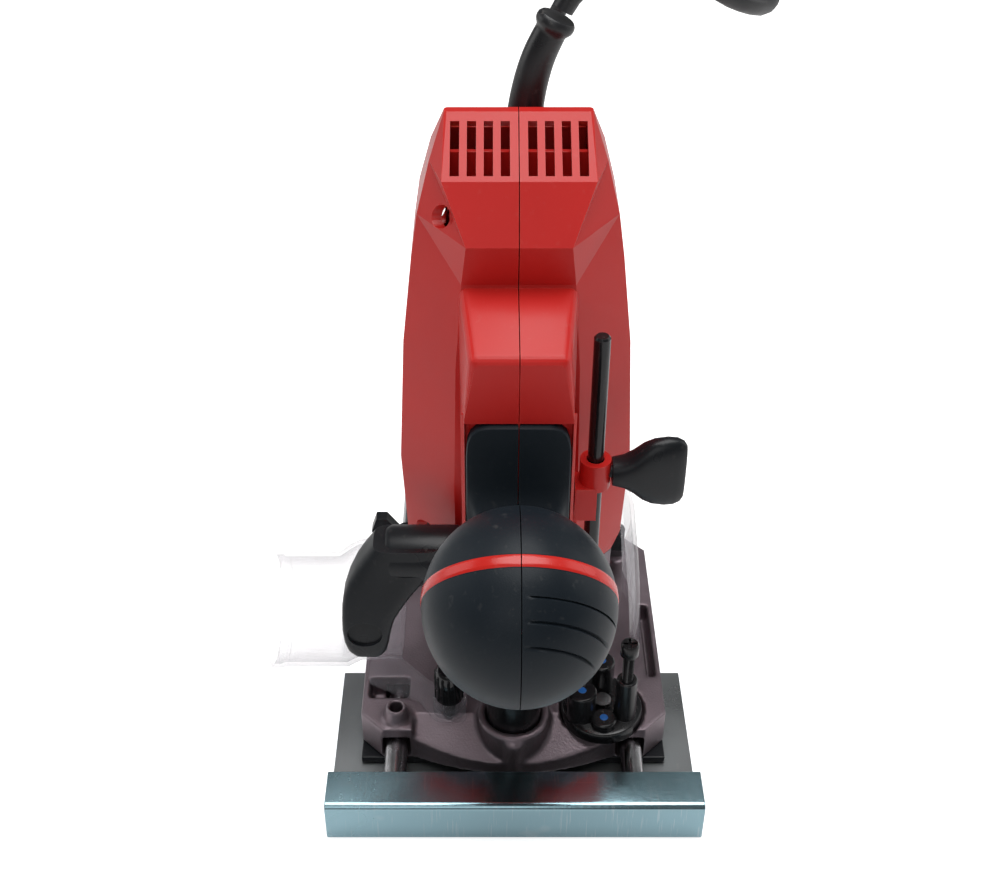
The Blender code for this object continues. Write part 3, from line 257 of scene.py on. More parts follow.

# In each finish the edge tint (radius, amount, colour) stands for rubbed-off finish on the metals; on the
# plastics it is a painted highlight where the edges catch the light.
finishSet = {
    "redPlastic": {
        "colour": (0.56, 0.016, 0.013), "rough": 0.33, "grain": (2600, 0.00003),
        "drift": (24, 0.06), "wearAndPaintedLight": (0.0007, 0.26, (0.85, 0.12, 0.09)), "dust": 0.04, "shine": 0.34,
    },
    "redStripe": {
        "colour": (0.62, 0.018, 0.012), "rough": 0.26, "grain": (2600, 0.00001),
        "drift": (40, 0.05), "wearAndPaintedLight": (0.0005, 0.3, (0.9, 0.14, 0.1)), "dust": 0.05,
    },
    "blackPlastic": {
        "colour": (0.0105, 0.012, 0.0145), "rough": 0.36, "grain": (2400, 0.00004),
        "drift": (30, 0.16), "wearAndPaintedLight": (0.0006, 0.22, (0.09, 0.1, 0.11)), "dust": 0.06, "shine": 0.3,
    },
    "glossBlack": {
        "colour": (0.008, 0.008, 0.009), "rough": 0.14, "grain": (900, 0.00001),
        "drift": (30, 0.12), "wearAndPaintedLight": (0.0005, 0.15, (0.09, 0.09, 0.1)), "dust": 0.12,
    },
    "softGrip": {
        "colour": (0.0105, 0.0155, 0.021), "rough": 0.44, "grain": (3000, 0.00004),
        "drift": (26, 0.12), "wearAndPaintedLight": (0.0006, 0.14, (0.07, 0.08, 0.09)), "dust": 0.05, "shine": 0.2,
    },
    "castAluminium": {
        "colour": (0.235, 0.190, 0.212), "rough": 0.4, "metal": 0.82, "grain": (1300, 0.00012),
        "drift": (32, 0.14), "wearAndPaintedLight": (0.0010, 0.62, (0.5, 0.49, 0.5)), "dust": 0.1,
    },
    "zincSteel": {
        "colour": (0.30, 0.46, 0.52), "rough": 0.2, "metal": 1.0, "grain": (700, 0.00002),
        "drift": (12, 0.10), "wearAndPaintedLight": (0.0006, 0.35, (0.6, 0.64, 0.66)), "dust": 0.05, "scratch": 0.3,
    },
    # The fence sheet's lower plate: a darker, greyer copy of the zinc finish on the same steel, painted
    # shade.
    "zincInPaintedShade": {
        "colour": (0.27, 0.285, 0.29), "rough": 0.34, "metal": 0.8, "grain": (900, 0.00003),
        "drift": (14, 0.12), "wearAndPaintedLight": (0.0005, 0.4, (0.3, 0.32, 0.33)), "dust": 0.12, "scratch": 0.2,
    },
    "brightSteel": {
        "colour": (0.42, 0.42, 0.43), "rough": 0.22, "metal": 1.0, "grain": (1600, 0.00001),
        "drift": (60, 0.10), "wearAndPaintedLight": (0.0004, 0.3, (0.8, 0.8, 0.8)), "dust": 0.05, "scratch": 0.25,
    },
    "blackSteel": {
        "colour": (0.009, 0.009, 0.01), "rough": 0.22, "metal": 0.25, "grain": (1600, 0.00002),
        "drift": (50, 0.14), "wearAndPaintedLight": (0.0005, 0.35, (0.16, 0.16, 0.17)), "dust": 0.08, "scratch": 0.08,
    },
    "brass": {
        "colour": (0.66, 0.46, 0.18), "rough": 0.3, "metal": 1.0, "grain": (1200, 0.00002),
        "drift": (60, 0.10), "wearAndPaintedLight": (0.0005, 0.3, (0.9, 0.75, 0.4)), "dust": 0.05,
    },
    "windingCopper": {
        "colour": (0.45, 0.16, 0.06), "rough": 0.36, "metal": 0.8, "grain": (2200, 0.0001),
        "drift": (90, 0.2), "wearAndPaintedLight": (0.0005, 0.3, (0.8, 0.4, 0.2)), "dust": 0.05,
    },
    "bronze": {
        "colour": (0.32, 0.2, 0.09), "rough": 0.5, "metal": 0.9, "grain": (1800, 0.0001),
        "drift": (70, 0.14), "wearAndPaintedLight": (0.0005, 0.3, (0.6, 0.45, 0.25)), "dust": 0.05,
    },
    "carbonBlack": {
        "colour": (0.02, 0.02, 0.022), "rough": 0.7, "grain": (1500, 0.0001),
        "drift": (60, 0.2), "wearAndPaintedLight": (0.0005, 0.3, (0.1, 0.1, 0.1)), "dust": 0.05,
    },
    "cableRubber": {
        "colour": (0.012, 0.012, 0.014), "rough": 0.42, "grain": (2200, 0.00004),
        "drift": (40, 0.16), "wearAndPaintedLight": (0.0006, 0.15, (0.07, 0.07, 0.08)), "dust": 0.25,
    },
    "bluePaint": {
        "colour": (0.01, 0.12, 0.42), "rough": 0.3, "grain": (1500, 0.00002),
        "drift": (60, 0.1), "wearAndPaintedLight": (0.0004, 0.2, (0.2, 0.4, 0.8)), "dust": 0.05,
    },
}


def mixed(tree, factor, first, second):
    node = tree.nodes.new("ShaderNodeMix")
    node.data_type = "RGBA"
    for socket, setting in ((node.inputs[0], factor), (node.inputs[6], first), (node.inputs[7], second)):
        if hasattr(setting, "is_linked"):
            tree.links.new(setting, socket)
        elif isinstance(setting, tuple):
            socket.default_value = (*setting, 1)
        else:
            socket.default_value = setting
    return node.outputs[2]


def placeEffect(tree, name, **values):
    node = tree.nodes.new("ShaderNodeGroup")
    node.node_tree = effects[name]
    for label, value in values.items():
        node.inputs[label].default_value = value
    return node.outputs[0]


def makeFinish(name, setting):
    material = bpy.data.materials.new(name)
    material.use_nodes = True
    tree = material.node_tree
    shader = tree.nodes["Principled BSDF"]
    shader.inputs["Metallic"].default_value = setting.get("metal", 0)
    if "shine" in setting:
        shader.inputs["Specular IOR Level"].default_value = setting["shine"]
    colour = setting["colour"]
    light = tuple(min(1, c * 1.5) for c in colour)
    dark = tuple(c * 0.5 for c in colour)
    driftScale, driftAmount = setting["drift"]
    tone = placeEffect(tree, "drift", Scale=driftScale, Amount=driftAmount)
    share = ranged(tree, tone, -0.5, 0.5, 0.0, 1.0)
    shown = mixed(tree, share, dark, light)
    # edges tinted: real wear on the metals, a painted highlight on the plastics
    wearAndLightRadius, wearAndLightAmount, wearAndHighlightColour = setting["wearAndPaintedLight"]
    wearAndPaintedLight = placeEffect(tree, "wearAndPaintedLight", Radius=wearAndLightRadius, Amount=wearAndLightAmount, Scale=220)
    shown = mixed(tree, wearAndPaintedLight, shown, wearAndHighlightColour)
    if "scratch" in setting:
        line = placeEffect(tree, "scratch", Amount=setting["scratch"], Scale=70)
        shown = mixed(tree, line, shown, wearAndHighlightColour)
    dust = placeEffect(tree, "dust", Amount=setting["dust"], Scale=420)
    shown = mixed(tree, dust, shown, (0.5, 0.47, 0.43))
    tree.links.new(shown, shader.inputs["Base Color"])
    rough = maths(tree, "ADD", setting["rough"], tone)
    rough = maths(tree, "ADD", rough, maths(tree, "MULTIPLY", dust, 0.8))
    tree.links.new(rough, shader.inputs["Roughness"])
    grainScale, grainDepth = setting["grain"]
    bump = tree.nodes.new("ShaderNodeBump")
    bump.inputs["Distance"].default_value = grainDepth
    bump.inputs["Strength"].default_value = 0.8
    tree.links.new(placeEffect(tree, "grain", Scale=grainScale, Depth=1.0), bump.inputs["Height"])
    tree.links.new(bump.outputs["Normal"], shader.inputs["Normal"])
    return material


# The clear plastic gets a darker colour and more opacity on its edges and on faces seen edge-on: painted
# shade standing in for light bent in the clear walls.
clearSet = {
    "tint": (0.80, 0.79, 0.85), "edge": (0.22, 0.20, 0.26), "rough": 0.05,
    "faceOn": 0.05, "edgeOn": 0.7, "rim": 0.5,
}


def makeClear():
    material = bpy.data.materials.new("clearPlastic")
    material.use_nodes = True
    tree = material.node_tree
    shader = tree.nodes["Principled BSDF"]
    shader.inputs["Transmission Weight"].default_value = 0.6
    shader.inputs["IOR"].default_value = 1.3
    # painted shade: faces seen edge-on and the bevelled edges turn darker and more opaque
    facing = tree.nodes.new("ShaderNodeLayerWeight")
    facing.inputs["Blend"].default_value = 0.2
    rim = placeEffect(tree, "wearAndPaintedLight", Radius=0.0009, Amount=clearSet["rim"], Scale=30)
    edge = maths(tree, "MAXIMUM", facing.outputs["Facing"], rim)
    shown = mixed(tree, edge, clearSet["tint"], clearSet["edge"])
    tree.links.new(shown, shader.inputs["Base Color"])
    alpha = ranged(tree, edge, 0.0, 1.0, clearSet["faceOn"], clearSet["edgeOn"])
    tree.links.new(alpha, shader.inputs["Alpha"])
    tone = placeEffect(tree, "drift", Scale=60, Amount=0.03)
    tree.links.new(maths(tree, "ADD", clearSet["rough"], tone), shader.inputs["Roughness"])
    bump = tree.nodes.new("ShaderNodeBump")
    bump.inputs["Distance"].default_value = 0.0002
    bump.inputs["Strength"].default_value = 0.3
    tree.links.new(placeEffect(tree, "grain", Scale=90, Depth=1.0), bump.inputs["Height"])
    tree.links.new(bump.outputs["Normal"], shader.inputs["Normal"])
    return material


finish = {name: makeFinish(name, setting) for name, setting in finishSet.items()}
finish["clearPlastic"] = makeClear()
print("finishes are ready:", len(finish))


# Ways of making pieces. Shapes are drawn in mm with the spindle at the middle.

def drawn():
    return bmesh.new()


def rounding(obj, width, segments=3, angle=25):
    bevel = obj.modifiers.new("Bevel", "BEVEL")
    bevel.width = width * mm
    bevel.segments = segments
    bevel.limit_method = "ANGLE"
    bevel.angle_limit = math.radians(angle)
    bevel.harden_normals = True
    return bevel


def makePiece(name, bm, looks, body, replaced=(), width=0.0, segments=3, angle=25, inRow=False):
    if not inRow:
        bmesh.ops.translate(bm, vec=(0, spindleY, 0), verts=bm.verts)
        bmesh.ops.scale(bm, vec=(mm, mm, mm), verts=bm.verts)
    mesh = bpy.data.meshes.new(name)
    for face in bm.faces:
        face.smooth = True
    bm.to_mesh(mesh)
    bm.free()
    mesh.set_sharp_from_angle(angle=math.radians(40))
    for look in [looks] if isinstance(looks, str) else looks:
        mesh.materials.append(finish[look])
    obj = bpy.data.objects.new(name, mesh)
    bpy.context.collection.objects.link(obj)
    if width:
        rounding(obj, width, segments, angle)
    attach(obj, body)
    if replaced:
        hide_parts(*([replaced] if isinstance(replaced, str) else replaced))
    return obj


def applied(obj):
    graph = bpy.context.evaluated_depsgraph_get()
    mesh = bpy.data.meshes.new_from_object(
        obj.evaluated_get(graph), preserve_all_data_layers=True, depsgraph=graph
    )
    obj.modifiers.clear()
    old = obj.data
    obj.data = mesh
    mesh.name = old.name
    bpy.data.meshes.remove(old)


def carve(obj, cutters, selfToo=False):
    made = []
    for bm in cutters:
        bmesh.ops.translate(bm, vec=(0, spindleY, 0), verts=bm.verts)
        bmesh.ops.scale(bm, vec=(mm, mm, mm), verts=bm.verts)
        mesh = bpy.data.meshes.new("cutter")
        bm.to_mesh(mesh)
        bm.free()
        cutter = bpy.data.objects.new("cutter", mesh)
        bpy.context.collection.objects.link(cutter)
        boolean = obj.modifiers.new("Boolean", "BOOLEAN")
        boolean.operation = "DIFFERENCE"
        boolean.object = cutter
        boolean.use_self = selfToo
        made.append(cutter)
    applied(obj)
    for cutter in made:
        mesh = cutter.data
        bpy.data.objects.remove(cutter)
        bpy.data.meshes.remove(mesh)


def addBox(bm, low, high, bevel=0.0, segments=2):
    low, high = Vector(low), Vector(high)
    place = Matrix.LocRotScale((low + high) / 2, None, high - low)
    made = bmesh.ops.create_cube(bm, size=1, matrix=place)
    if bevel:
        edges = list({edge for vert in made["verts"] for edge in vert.link_edges})
        bmesh.ops.bevel(
            bm, geom=edges, offset=bevel, segments=segments, profile=0.5, affect="EDGES", material=-1
        )
    return bm


toAxis = {
    "X": Matrix.Rotation(math.pi / 2, 4, "Y"),
    "Y": Matrix.Rotation(-math.pi / 2, 4, "X"),
    "Z": Matrix.Identity(4),
}


def addDrum(bm, radius, low, high, at=(0, 0, 0), axis="Z", sides=48):
    place = Matrix.Translation(at) @ toAxis[axis] @ Matrix.Translation((0, 0, (low + high) / 2))
    bmesh.ops.create_cone(
        bm, cap_ends=True, segments=sides, radius1=radius, radius2=radius, depth=high - low, matrix=place
    )
    return bm


def addTurned(bm, profile, at=(0, 0, 0), axis="Z", steps=48, closed=False, look=0):
    before = set(bm.verts)
    points = [bm.verts.new((radius, 0, height)) for radius, height in profile]
    edges = [bm.edges.new(pair) for pair in zip(points, points[1:])]
    if closed:
        edges.append(bm.edges.new((points[-1], points[0])))
    bmesh.ops.spin(
        bm, geom=points + edges, cent=(0, 0, 0), axis=(0, 0, 1), angle=2 * math.pi, steps=steps,
        use_merge=True,
    )
    made = [vert for vert in bm.verts if vert not in before]
    bmesh.ops.remove_doubles(bm, verts=made, dist=0.0005)
    made = [vert for vert in bm.verts if vert not in before]
    faces = list({face for vert in made for face in vert.link_faces})
    bmesh.ops.recalc_face_normals(bm, faces=faces)
    for face in faces:
        face.material_index = look
    bmesh.ops.transform(bm, matrix=Matrix.Translation(at) @ toAxis[axis], verts=made)
    return made


def grow(bm, ring, places):
    bmesh.ops.transform(bm, matrix=places[0], verts=ring)
    edges = list({edge for vert in ring for edge in vert.link_edges})
    faces, ends = [], [edges]
    for before, after in zip(places, places[1:]):
        made = bmesh.ops.extrude_edge_only(bm, edges=edges)["geom"]
        verts = [item for item in made if isinstance(item, bmesh.types.BMVert)]
        edges = [item for item in made if isinstance(item, bmesh.types.BMEdge) and item.is_boundary]
        faces += [item for item in made if isinstance(item, bmesh.types.BMFace)]
        bmesh.ops.transform(bm, matrix=after @ before.inverted(), verts=verts)
    ends.append(edges)
    for end in ends:
        faces += bmesh.ops.contextual_create(bm, geom=end)["faces"]
    bmesh.ops.recalc_face_normals(bm, faces=faces)


def ringOf(bm, sides=32, power=2.0):
    ring = bmesh.ops.create_circle(bm, segments=sides, radius=1)["verts"]
    for vert in ring:
        reach = (abs(vert.co.x) ** power + abs(vert.co.y) ** power) ** (-1 / power)
        vert.co.x *= reach
        vert.co.y *= reach
    return ring


def alongX(x, halfY, lowZ, highZ):
    turn = Matrix(((0, 0, 1, 0), (1, 0, 0, 0), (0, 1, 0, 0), (0, 0, 0, 1)))
    grown = Matrix.Diagonal((halfY, (highZ - lowZ) / 2, 1, 1))
    return Matrix.Translation((x, 0, (lowZ + highZ) / 2)) @ turn @ grown


def alongY(y, x, z, halfX, halfZ):
    turn = Matrix(((1, 0, 0, 0), (0, 0, 1, 0), (0, 1, 0, 0), (0, 0, 0, 1)))
    return Matrix.Translation((x, y, z)) @ turn @ Matrix.Diagonal((halfX, halfZ, 1, 1))


def alongPath(points, radii):
    places, side = [], Vector((0, 1, 0))
    for k, (point, radius) in enumerate(zip(points, radii)):
        ahead = (points[min(k + 1, len(points) - 1)] - points[max(k - 1, 0)]).normalized()
        side = (side - ahead * side.dot(ahead)).normalized()
        other = ahead.cross(side)
        turn = Matrix((side, other, ahead)).transposed().to_4x4()
        places.append(Matrix.Translation(point) @ turn @ Matrix.Diagonal((radius, radius, 1, 1)))
    return places


def smoothPath(points, perSpan):
    ends = [2 * points[0] - points[1], *points, 2 * points[-1] - points[-2]]
    path = []
    for a, b, c, d in zip(ends, ends[1:], ends[2:], ends[3:]):
        for k in range(perSpan):
            t = k / perSpan
            bend = 2 * b + (c - a) * t + (2 * a - 5 * b + 4 * c - d) * t * t
            path.append(0.5 * (bend + (3 * b - a - 3 * c + d) * t * t * t))
    path.append(points[-1])
    return path


def cadCopy(name, node, look, body, width=0.3, segments=2, angle=30):
    bm = bmesh.new()
    bm.from_mesh(frame["nodes"][node].data)
    bmesh.ops.remove_doubles(bm, verts=bm.verts, dist=0.00002)
    bmesh.ops.dissolve_limit(
        bm, angle_limit=math.radians(0.6), verts=bm.verts, edges=bm.edges, delimit={"NORMAL"}
    )
    for face in bm.faces:
        face.material_index = 0
    return makePiece(name, bm, look, body, node, width, segments, angle, inRow=True)


# The lead: its boot, run, coil and plug.

cordSet = {
    "diameter": 6.6,
    "route": [
        (16.4, -13.0, 256.6), (17.0, -17.0, 262.0), (18.5, -27.0, 268.3), (20.0, -40.0, 269.5),
        (22.0, -52.0, 264.8), (27.0, -64.0, 256.5), (38.0, -75.0, 250.0), (56.0, -81.0, 247.0),
        (80.0, -79.0, 245.0), (104.0, -67.0, 243.0), (124.0, -46.0, 238.0), (137.0, -25.0, 223.0),
        (140.5, -12.5, 198.0), (140.0, -5.5, 168.0), (139.5, -3.5, 130.0), (139.0, -3.0, 90.0),
        (138.5, -4.0, 62.0), (137.5, -9.0, 43.0), (136.5, -16.5, 31.5), (137.5, -26.0, 25.0),
        (144.0, -34.5, 24.0),
    ],
    "coilMiddle": (166.0, -4.0),
    "plugLift": 5.4,
    # how far each point of the last stretch lies past the coil, and its share of the lift
    "tail": [(8, 0), (16, 0), (24.7, 0), (31.7, 0.3), (37.7, 0.8), (41.7, 1), (44.7, 1)],
    "followsUnit": (0.03, 0.0, 0.25),  # in metres
    "restsOnFloor": (0.11, 0.0, 0.25),  # in metres
}
# where the coil stands at each angle: angle, radius, height,
# and whether it eases into the next place or runs straight to it
coilStops = [
    (253.7, 37.5, 24.0, "ease"), (373.7, 29.75, 24.0, "ease"), (493.7, 29.75, 16.75, "straight"),
    (1213.7, 43.25, 16.75, "ease"), (1303.7, 43.25, 10.1, "straight"), (2023.7, 29.75, 10.1, "ease"),
    (2143.7, 29.75, 3.45, "straight"), (2810, 42.24, 3.45, "end"),
]


def coilPlace(angle, radius, height):
    x, y = cordSet["coilMiddle"]
    return Vector((x + radius * math.cos(angle), y + radius * math.sin(angle), height))


def coilPath(step=12.0):
    points = []
    for (a0, r0, z0, way), (a1, r1, z1, _) in zip(coilStops, coilStops[1:]):
        count = max(1, round((a1 - a0) / step))
        for k in range(count):
            t = k / count
            ease = t * t * (3 - 2 * t) if way == "ease" else t
            angle = math.radians(a0 + (a1 - a0) * t)
            points.append(coilPlace(angle, r0 + (r1 - r0) * ease, z0 + (z1 - z0) * ease))
    last, radius, height, _ = coilStops[-1]
    angle = math.radians(last)
    points.append(coilPlace(angle, radius, height))
    along = Vector((-math.sin(angle), math.cos(angle), 0))
    return points, along


def makeCord():
    coil, along = coilPath()
    run = smoothPath([Vector(point) for point in cordSet["route"]] + [coil[0]], 3)
    end = coil[-1]
    lifted = Vector((0, 0, cordSet["plugLift"]))
    tail = [end + along * reach + lifted * share for reach, share in cordSet["tail"]]
    points = run + coil[1:] + tail
    row = [(point + Vector((0, spindleY, 0))) * mm for point in points]
    curve = bpy.data.curves.new("mainsCord", "CURVE")
    curve.dimensions = "3D"
    curve.bevel_depth = cordSet["diameter"] / 2 * mm
    curve.bevel_resolution = 5
    curve.use_fill_caps = True
    spline = curve.splines.new("POLY")
    spline.points.add(len(row) - 1)
    for point, place in zip(spline.points, row):
        point.co = (*place, 1)
    spline.use_smooth = True
    curve.materials.append(finish["cableRubber"])
    rope = bpy.data.objects.new("rope", curve)
    bpy.context.collection.objects.link(rope)
    graph = bpy.context.evaluated_depsgraph_get()
    mesh = bpy.data.meshes.new_from_object(rope.evaluated_get(graph), depsgraph=graph)
    bpy.data.objects.remove(rope)
    mesh.name = "mainsCord"
    cord = bpy.data.objects.new("mainsCord", mesh)
    bpy.context.collection.objects.link(cord)
    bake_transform(cord)
    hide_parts("cord_run", "cord_coil", "cord_tail")
    plug = makePlug(points[-1] + along * 0.3, along)


plugSet = {
    # reach from the cord's end, half width, half height
    "sections": [
        (0, 4.4, 4.4), (4, 4.7, 4.7), (14, 5.6, 5.6), (20, 11.9, 8.1), (27, 15.6, 8.8), (34, 17, 9),
        (44, 17, 9), (46, 15.8, 8),
    ],
    "pinRadius": 2.4,
    "pinSpacing": 9.5,
}


def makePlug(at, along):
    turn = Matrix.Rotation(math.atan2(along.y, along.x), 4, "Z")
    place = Matrix.Translation(at) @ turn
    bm = drawn()
    ring = ringOf(bm, 40, 2.6)
    grow(bm, ring, [place @ alongX(x, halfY, -halfZ, halfZ) for x, halfY, halfZ in plugSet["sections"]])
    for k in range(5):  # grip rings on the sleeve
        x, radius = 3.0 + 2.2 * k, 5.5 + 0.2 * k
        profile = [(4.2, -0.5), (radius, -0.5), (radius, 0.5), (4.2, 0.5)]
        made = addTurned(bm, profile, (x, 0, 0), "X", 32, True)
        bmesh.ops.transform(bm, matrix=place, verts=made)
    for side in (-1, 1):
        radius = plugSet["pinRadius"]
        profile = [(0, 64), (radius - 0.6, 64), (radius, 63.2), (radius, 44), (0, 44)]
        made = addTurned(bm, profile, (0, side * plugSet["pinSpacing"], 0), "X", 24, look=1)
        bmesh.ops.transform(bm, matrix=place, verts=made)
    looks = ["cableRubber", "brightSteel"]
    return makePiece("mainsPlug", bm, looks, "base", "plug_body", 0.4)


bootSet = {
    "path": [(15, -2.2, 212), (15, -2.4, 226), (15.6, -5.6, 241), (16.2, -11.6, 254.4)],
    "foot": 5.9,
    "tip": 4.7,
    "collar": 6.1,
}


def makeBoot():
    path = smoothPath([Vector(point) for point in bootSet["path"]], 16)
    count = len(path)
    foot, tip = bootSet["foot"], bootSet["tip"]
    radii = [foot + (tip - foot) * k / (count - 1) for k in range(count)]
    for index, share in {-5: 0.55, -4: 0.92, -3: 1.0, -2: 0.9, -1: 0.4}.items():  # the collar at the end
        radii[index] = tip + (bootSet["collar"] - tip) * share
    bm = drawn()
    grow(bm, ringOf(bm, 40), alongPath(path, radii))
    makePiece("cordBoot", bm, "cableRubber", "motor_unit", "cord_boot", 0.25, angle=50)


makeCord()
makeBoot()
print("the lead is made")


# The housing's two halves.

housingSet = {
    # height, half depth, half of the flat face, half of the flat side, half width
    "sections": [
        (76, 33, 20, 18, 34), (86, 35, 20, 20, 36.5), (119, 35, 20, 20, 38), (163, 34, 19, 18, 35.7),
        (191, 31, 17, 14, 32.5), (204.5, 33, 15.5, 12, 30.5), (220, 22, 22.5, 8, 26.5),
        (232.5, 1.6, 21.2, 1.0, 22),
    ],
    "wall": 2.6,
    "slotWidth": 2.7,
    "slotPitch": 4.93,
    "slotFirst": 4.0,
    "slotEnds": (4.4, 20.4),
    "blockRoot": 27,
    "blockFace": 60,
    "padTop": 161,
}


def addBarrel(bm, half):
    sections = []
    for z, x, w, c, y in housingSet["sections"]:
        sections.append([(x, seam, z), (x, w, z), (c, y, z), (-c, y, z), (-x, w, z), (-x, seam, z)])
    verts = [bm.verts.new((x, half * y, z)) for x, y, z in sections[0]]
    edges = [bm.edges.new(pair) for pair in zip(verts, verts[1:])]
    for section in sections[1:]:
        made = bmesh.ops.extrude_edge_only(bm, edges=edges)["geom"]
        rising = [item for item in made if isinstance(item, bmesh.types.BMVert)]
        follow = {}
        for old in verts:
            new = [edge.other_vert(old) for edge in old.link_edges if edge.other_vert(old) in rising]
            follow[old] = new[0]
        verts = [follow[old] for old in verts]
        for vert, (x, y, z) in zip(verts, section):
            vert.co = (x, half * y, z)
        edges = [bm.edges.get(pair) for pair in zip(verts, verts[1:])]
    bm.faces.new(verts)


def cutSlots(bm, half):
    first, pitch, width = housingSet["slotFirst"], housingSet["slotPitch"], housingSet["slotWidth"]
    near, far = housingSet["slotEnds"]

    def roofFaces():
        bm.normal_update()
        chosen = []
        for face in bm.faces:
            middle = face.calc_center_median()
            looksUp = abs(face.normal.y) < 0.3 and abs(face.normal.x) > 0.2
            if middle.z > 219.5 and abs(middle.y) < 22.4 and looksUp:
                chosen.append(face)
        return chosen

    planes = []
    for k in range(4):
        for edge in (-1, 1):
            planes.append(((0, half * (first + pitch * k + edge * width / 2), 0), (0, 1, 0)))
    for side in (-1, 1):
        planes += [((side * near, 0, 0), (1, 0, 0)), ((side * far, 0, 0), (1, 0, 0))]
    for place, normal in planes:
        faces = roofFaces()
        geom = list({item for face in faces for item in (*face.verts, *face.edges, face)})
        bmesh.ops.bisect_plane(bm, geom=geom, plane_co=place, plane_no=normal, dist=0.0001)
    gone = []
    for face in roofFaces():
        middle = face.calc_center_median()
        inside = any(abs(abs(middle.y) - (first + pitch * k)) < width / 2 - 0.05 for k in range(4))
        if inside and near < abs(middle.x) < far:
            gone.append(face)
    bmesh.ops.delete(bm, geom=gone, context="FACES")


def addBlock(bm, side, half):
    root, face, pad = housingSet["blockRoot"], housingSet["blockFace"], housingSet["padTop"]
    stations = [(18.2, 18.0, 191), (16.0, 14.4, 183.8)]  # half width at the pad and at the top, height
    rows = []
    for wide, high, top in stations:
        rows.append([(seam, top), (high, top), (wide, pad + 2), (wide, 76), (seam, 76)])
    first = [bm.verts.new((side * root, half * y, z)) for y, z in rows[0]]
    edges = [bm.edges.new(pair) for pair in zip(first, first[1:])]
    made = bmesh.ops.extrude_edge_only(bm, edges=edges)["geom"]
    rising = set(item for item in made if isinstance(item, bmesh.types.BMVert))
    last = [next(e.other_vert(v) for e in v.link_edges if e.other_vert(v) in rising) for v in first]
    for vert, (y, z) in zip(last, rows[1]):
        vert.co = (side * face, half * y, z)
    bm.faces.new(last)
    corners = ((last[0], last[1]), (last[1], last[2]), (first[1], last[1]))
    edges = [bm.edges.get(pair) for pair in corners]
    bmesh.ops.bevel(bm, geom=edges, offset=2.6, segments=5, profile=0.5, affect="EDGES", material=-1)

    def frontFaces():
        bm.normal_update()
        return [
            f for f in bm.faces
            if abs(f.normal.x) > 0.99 and all(abs(v.co.x * side - face) < 0.01 for v in f.verts)
        ]

    geom = list({item for f in frontFaces() for item in (*f.verts, *f.edges, f)})
    bmesh.ops.bisect_plane(bm, geom=geom, plane_co=(0, 0, pad + 0.6), plane_no=(0, 0, 1), dist=0.0001)
    for f in [f for f in frontFaces() if f.calc_center_median().z < pad]:
        bmesh.ops.inset_region(bm, faces=[f], thickness=0.4, depth=0, use_boundary=True)
        bmesh.ops.translate(bm, vec=(-side * 2.0, 0, 0), verts=f.verts)


# x, z and rim of the cup behind each screw hole
screwPlaces = [(-20.5, 208, 20.2), (22, 186, 22.8), (-26.5, 92, 26.2), (26.5, 92, 26.2)]


def makeHousing(half, name, node):
    bm = drawn()
    addBarrel(bm, half)
    cutSlots(bm, half)
    for side in (-1, 1):
        addBlock(bm, side, half)
    bmesh.ops.connect_verts_nonplanar(bm, angle_limit=math.radians(0.5), faces=bm.faces)
    bmesh.ops.recalc_face_normals(bm, faces=bm.faces)
    middle = Vector((0, half * 12, 150))
    outward = sum((f.calc_center_median() - middle).dot(f.normal) * f.calc_area() for f in bm.faces)
    if outward < 0:
        bmesh.ops.reverse_faces(bm, faces=bm.faces)
    shell = makePiece(name, bm, "redPlastic", "motor_unit", node)
    wall = shell.modifiers.new("Solidify", "SOLIDIFY")
    wall.thickness = housingSet["wall"] * mm
    wall.offset = -1
    applied(shell)
    cutters = []
    for side in (-1, 1):
        cutters.append(addDrum(drawn(), 12.3, 60, 95, (side * 46, 0, 0)))
    if half == 1:
        for x, z, _ in screwPlaces:
            cutters.append(addDrum(drawn(), 3.5, 14, 60, (x, 0, z), "Y", sides=32))
        cutters.append(addDrum(drawn(), 4.3, 5, 25, (-46, 0, 98), "Y", sides=32))
    cutters.append(addDrum(drawn(), 6.3, 205, 240, (15, -2.2, 0), sides=48))
    cutters.append(addBox(drawn(), (26, -3.3, 187.7), (40, 3.3, 208.3)))
    carve(shell, cutters, selfToo=True)
    rounding(shell, 0.45, 3, 12)
    makeRibs(half, name + "Ribs")


def makeRibs(half, name):  # what shows through the roof slots and the screw holes
    inside = drawn()
    low, high = sorted((half * 0.5, half * 21.0))
    for side in (-1, 1):
        for x, z in ((8.6, 220.5), (17.4, 215.0)):
            addBox(inside, (side * x - 0.9, low, z - 6), (side * x + 0.9, high, z + 3.0), 0.2, 1)
        for y, x0, x1 in ((3.9, 6.5, 19.0), (8.9, 12.0, 19.0), (13.8, 9.0, 13.0), (18.7, 14.5, 19.5)):
            ends = sorted((side * x0, side * x1))
            top = 217 - 0.15 * x1
            addBox(inside, (ends[0], half * y - 0.8, 205), (ends[1], half * y + 0.8, top), 0.2, 1)
    if half == 1:
        for x, z, rim in screwPlaces:
            cup = [(0, rim - 7), (4.3, rim - 7), (4.3, rim), (3.6, rim), (3.6, rim - 6.2), (0, rim - 6.2)]
            addTurned(inside, cup, (x, 0, z), "Y", 32)
    makePiece(name, inside, "redPlastic", "motor_unit")


makeHousing(-1, "housingFront", "housing_front")
makeHousing(1, "housingBack", "housing_back")


def makeScrews():
    bm = drawn()
    for x, z, rim in screwPlaces:
        top = rim - 3
        profile = [(0, top), (2.2, top), (2.8, top - 0.8), (2.8, top - 3), (0, top - 3)]
        addTurned(bm, profile, (x, 0, z), "Y", 24)
    makePiece("housingScrews", bm, "blackSteel", "motor_unit")


makeScrews()
print("the housing is made")


# The ball handles and their pads.

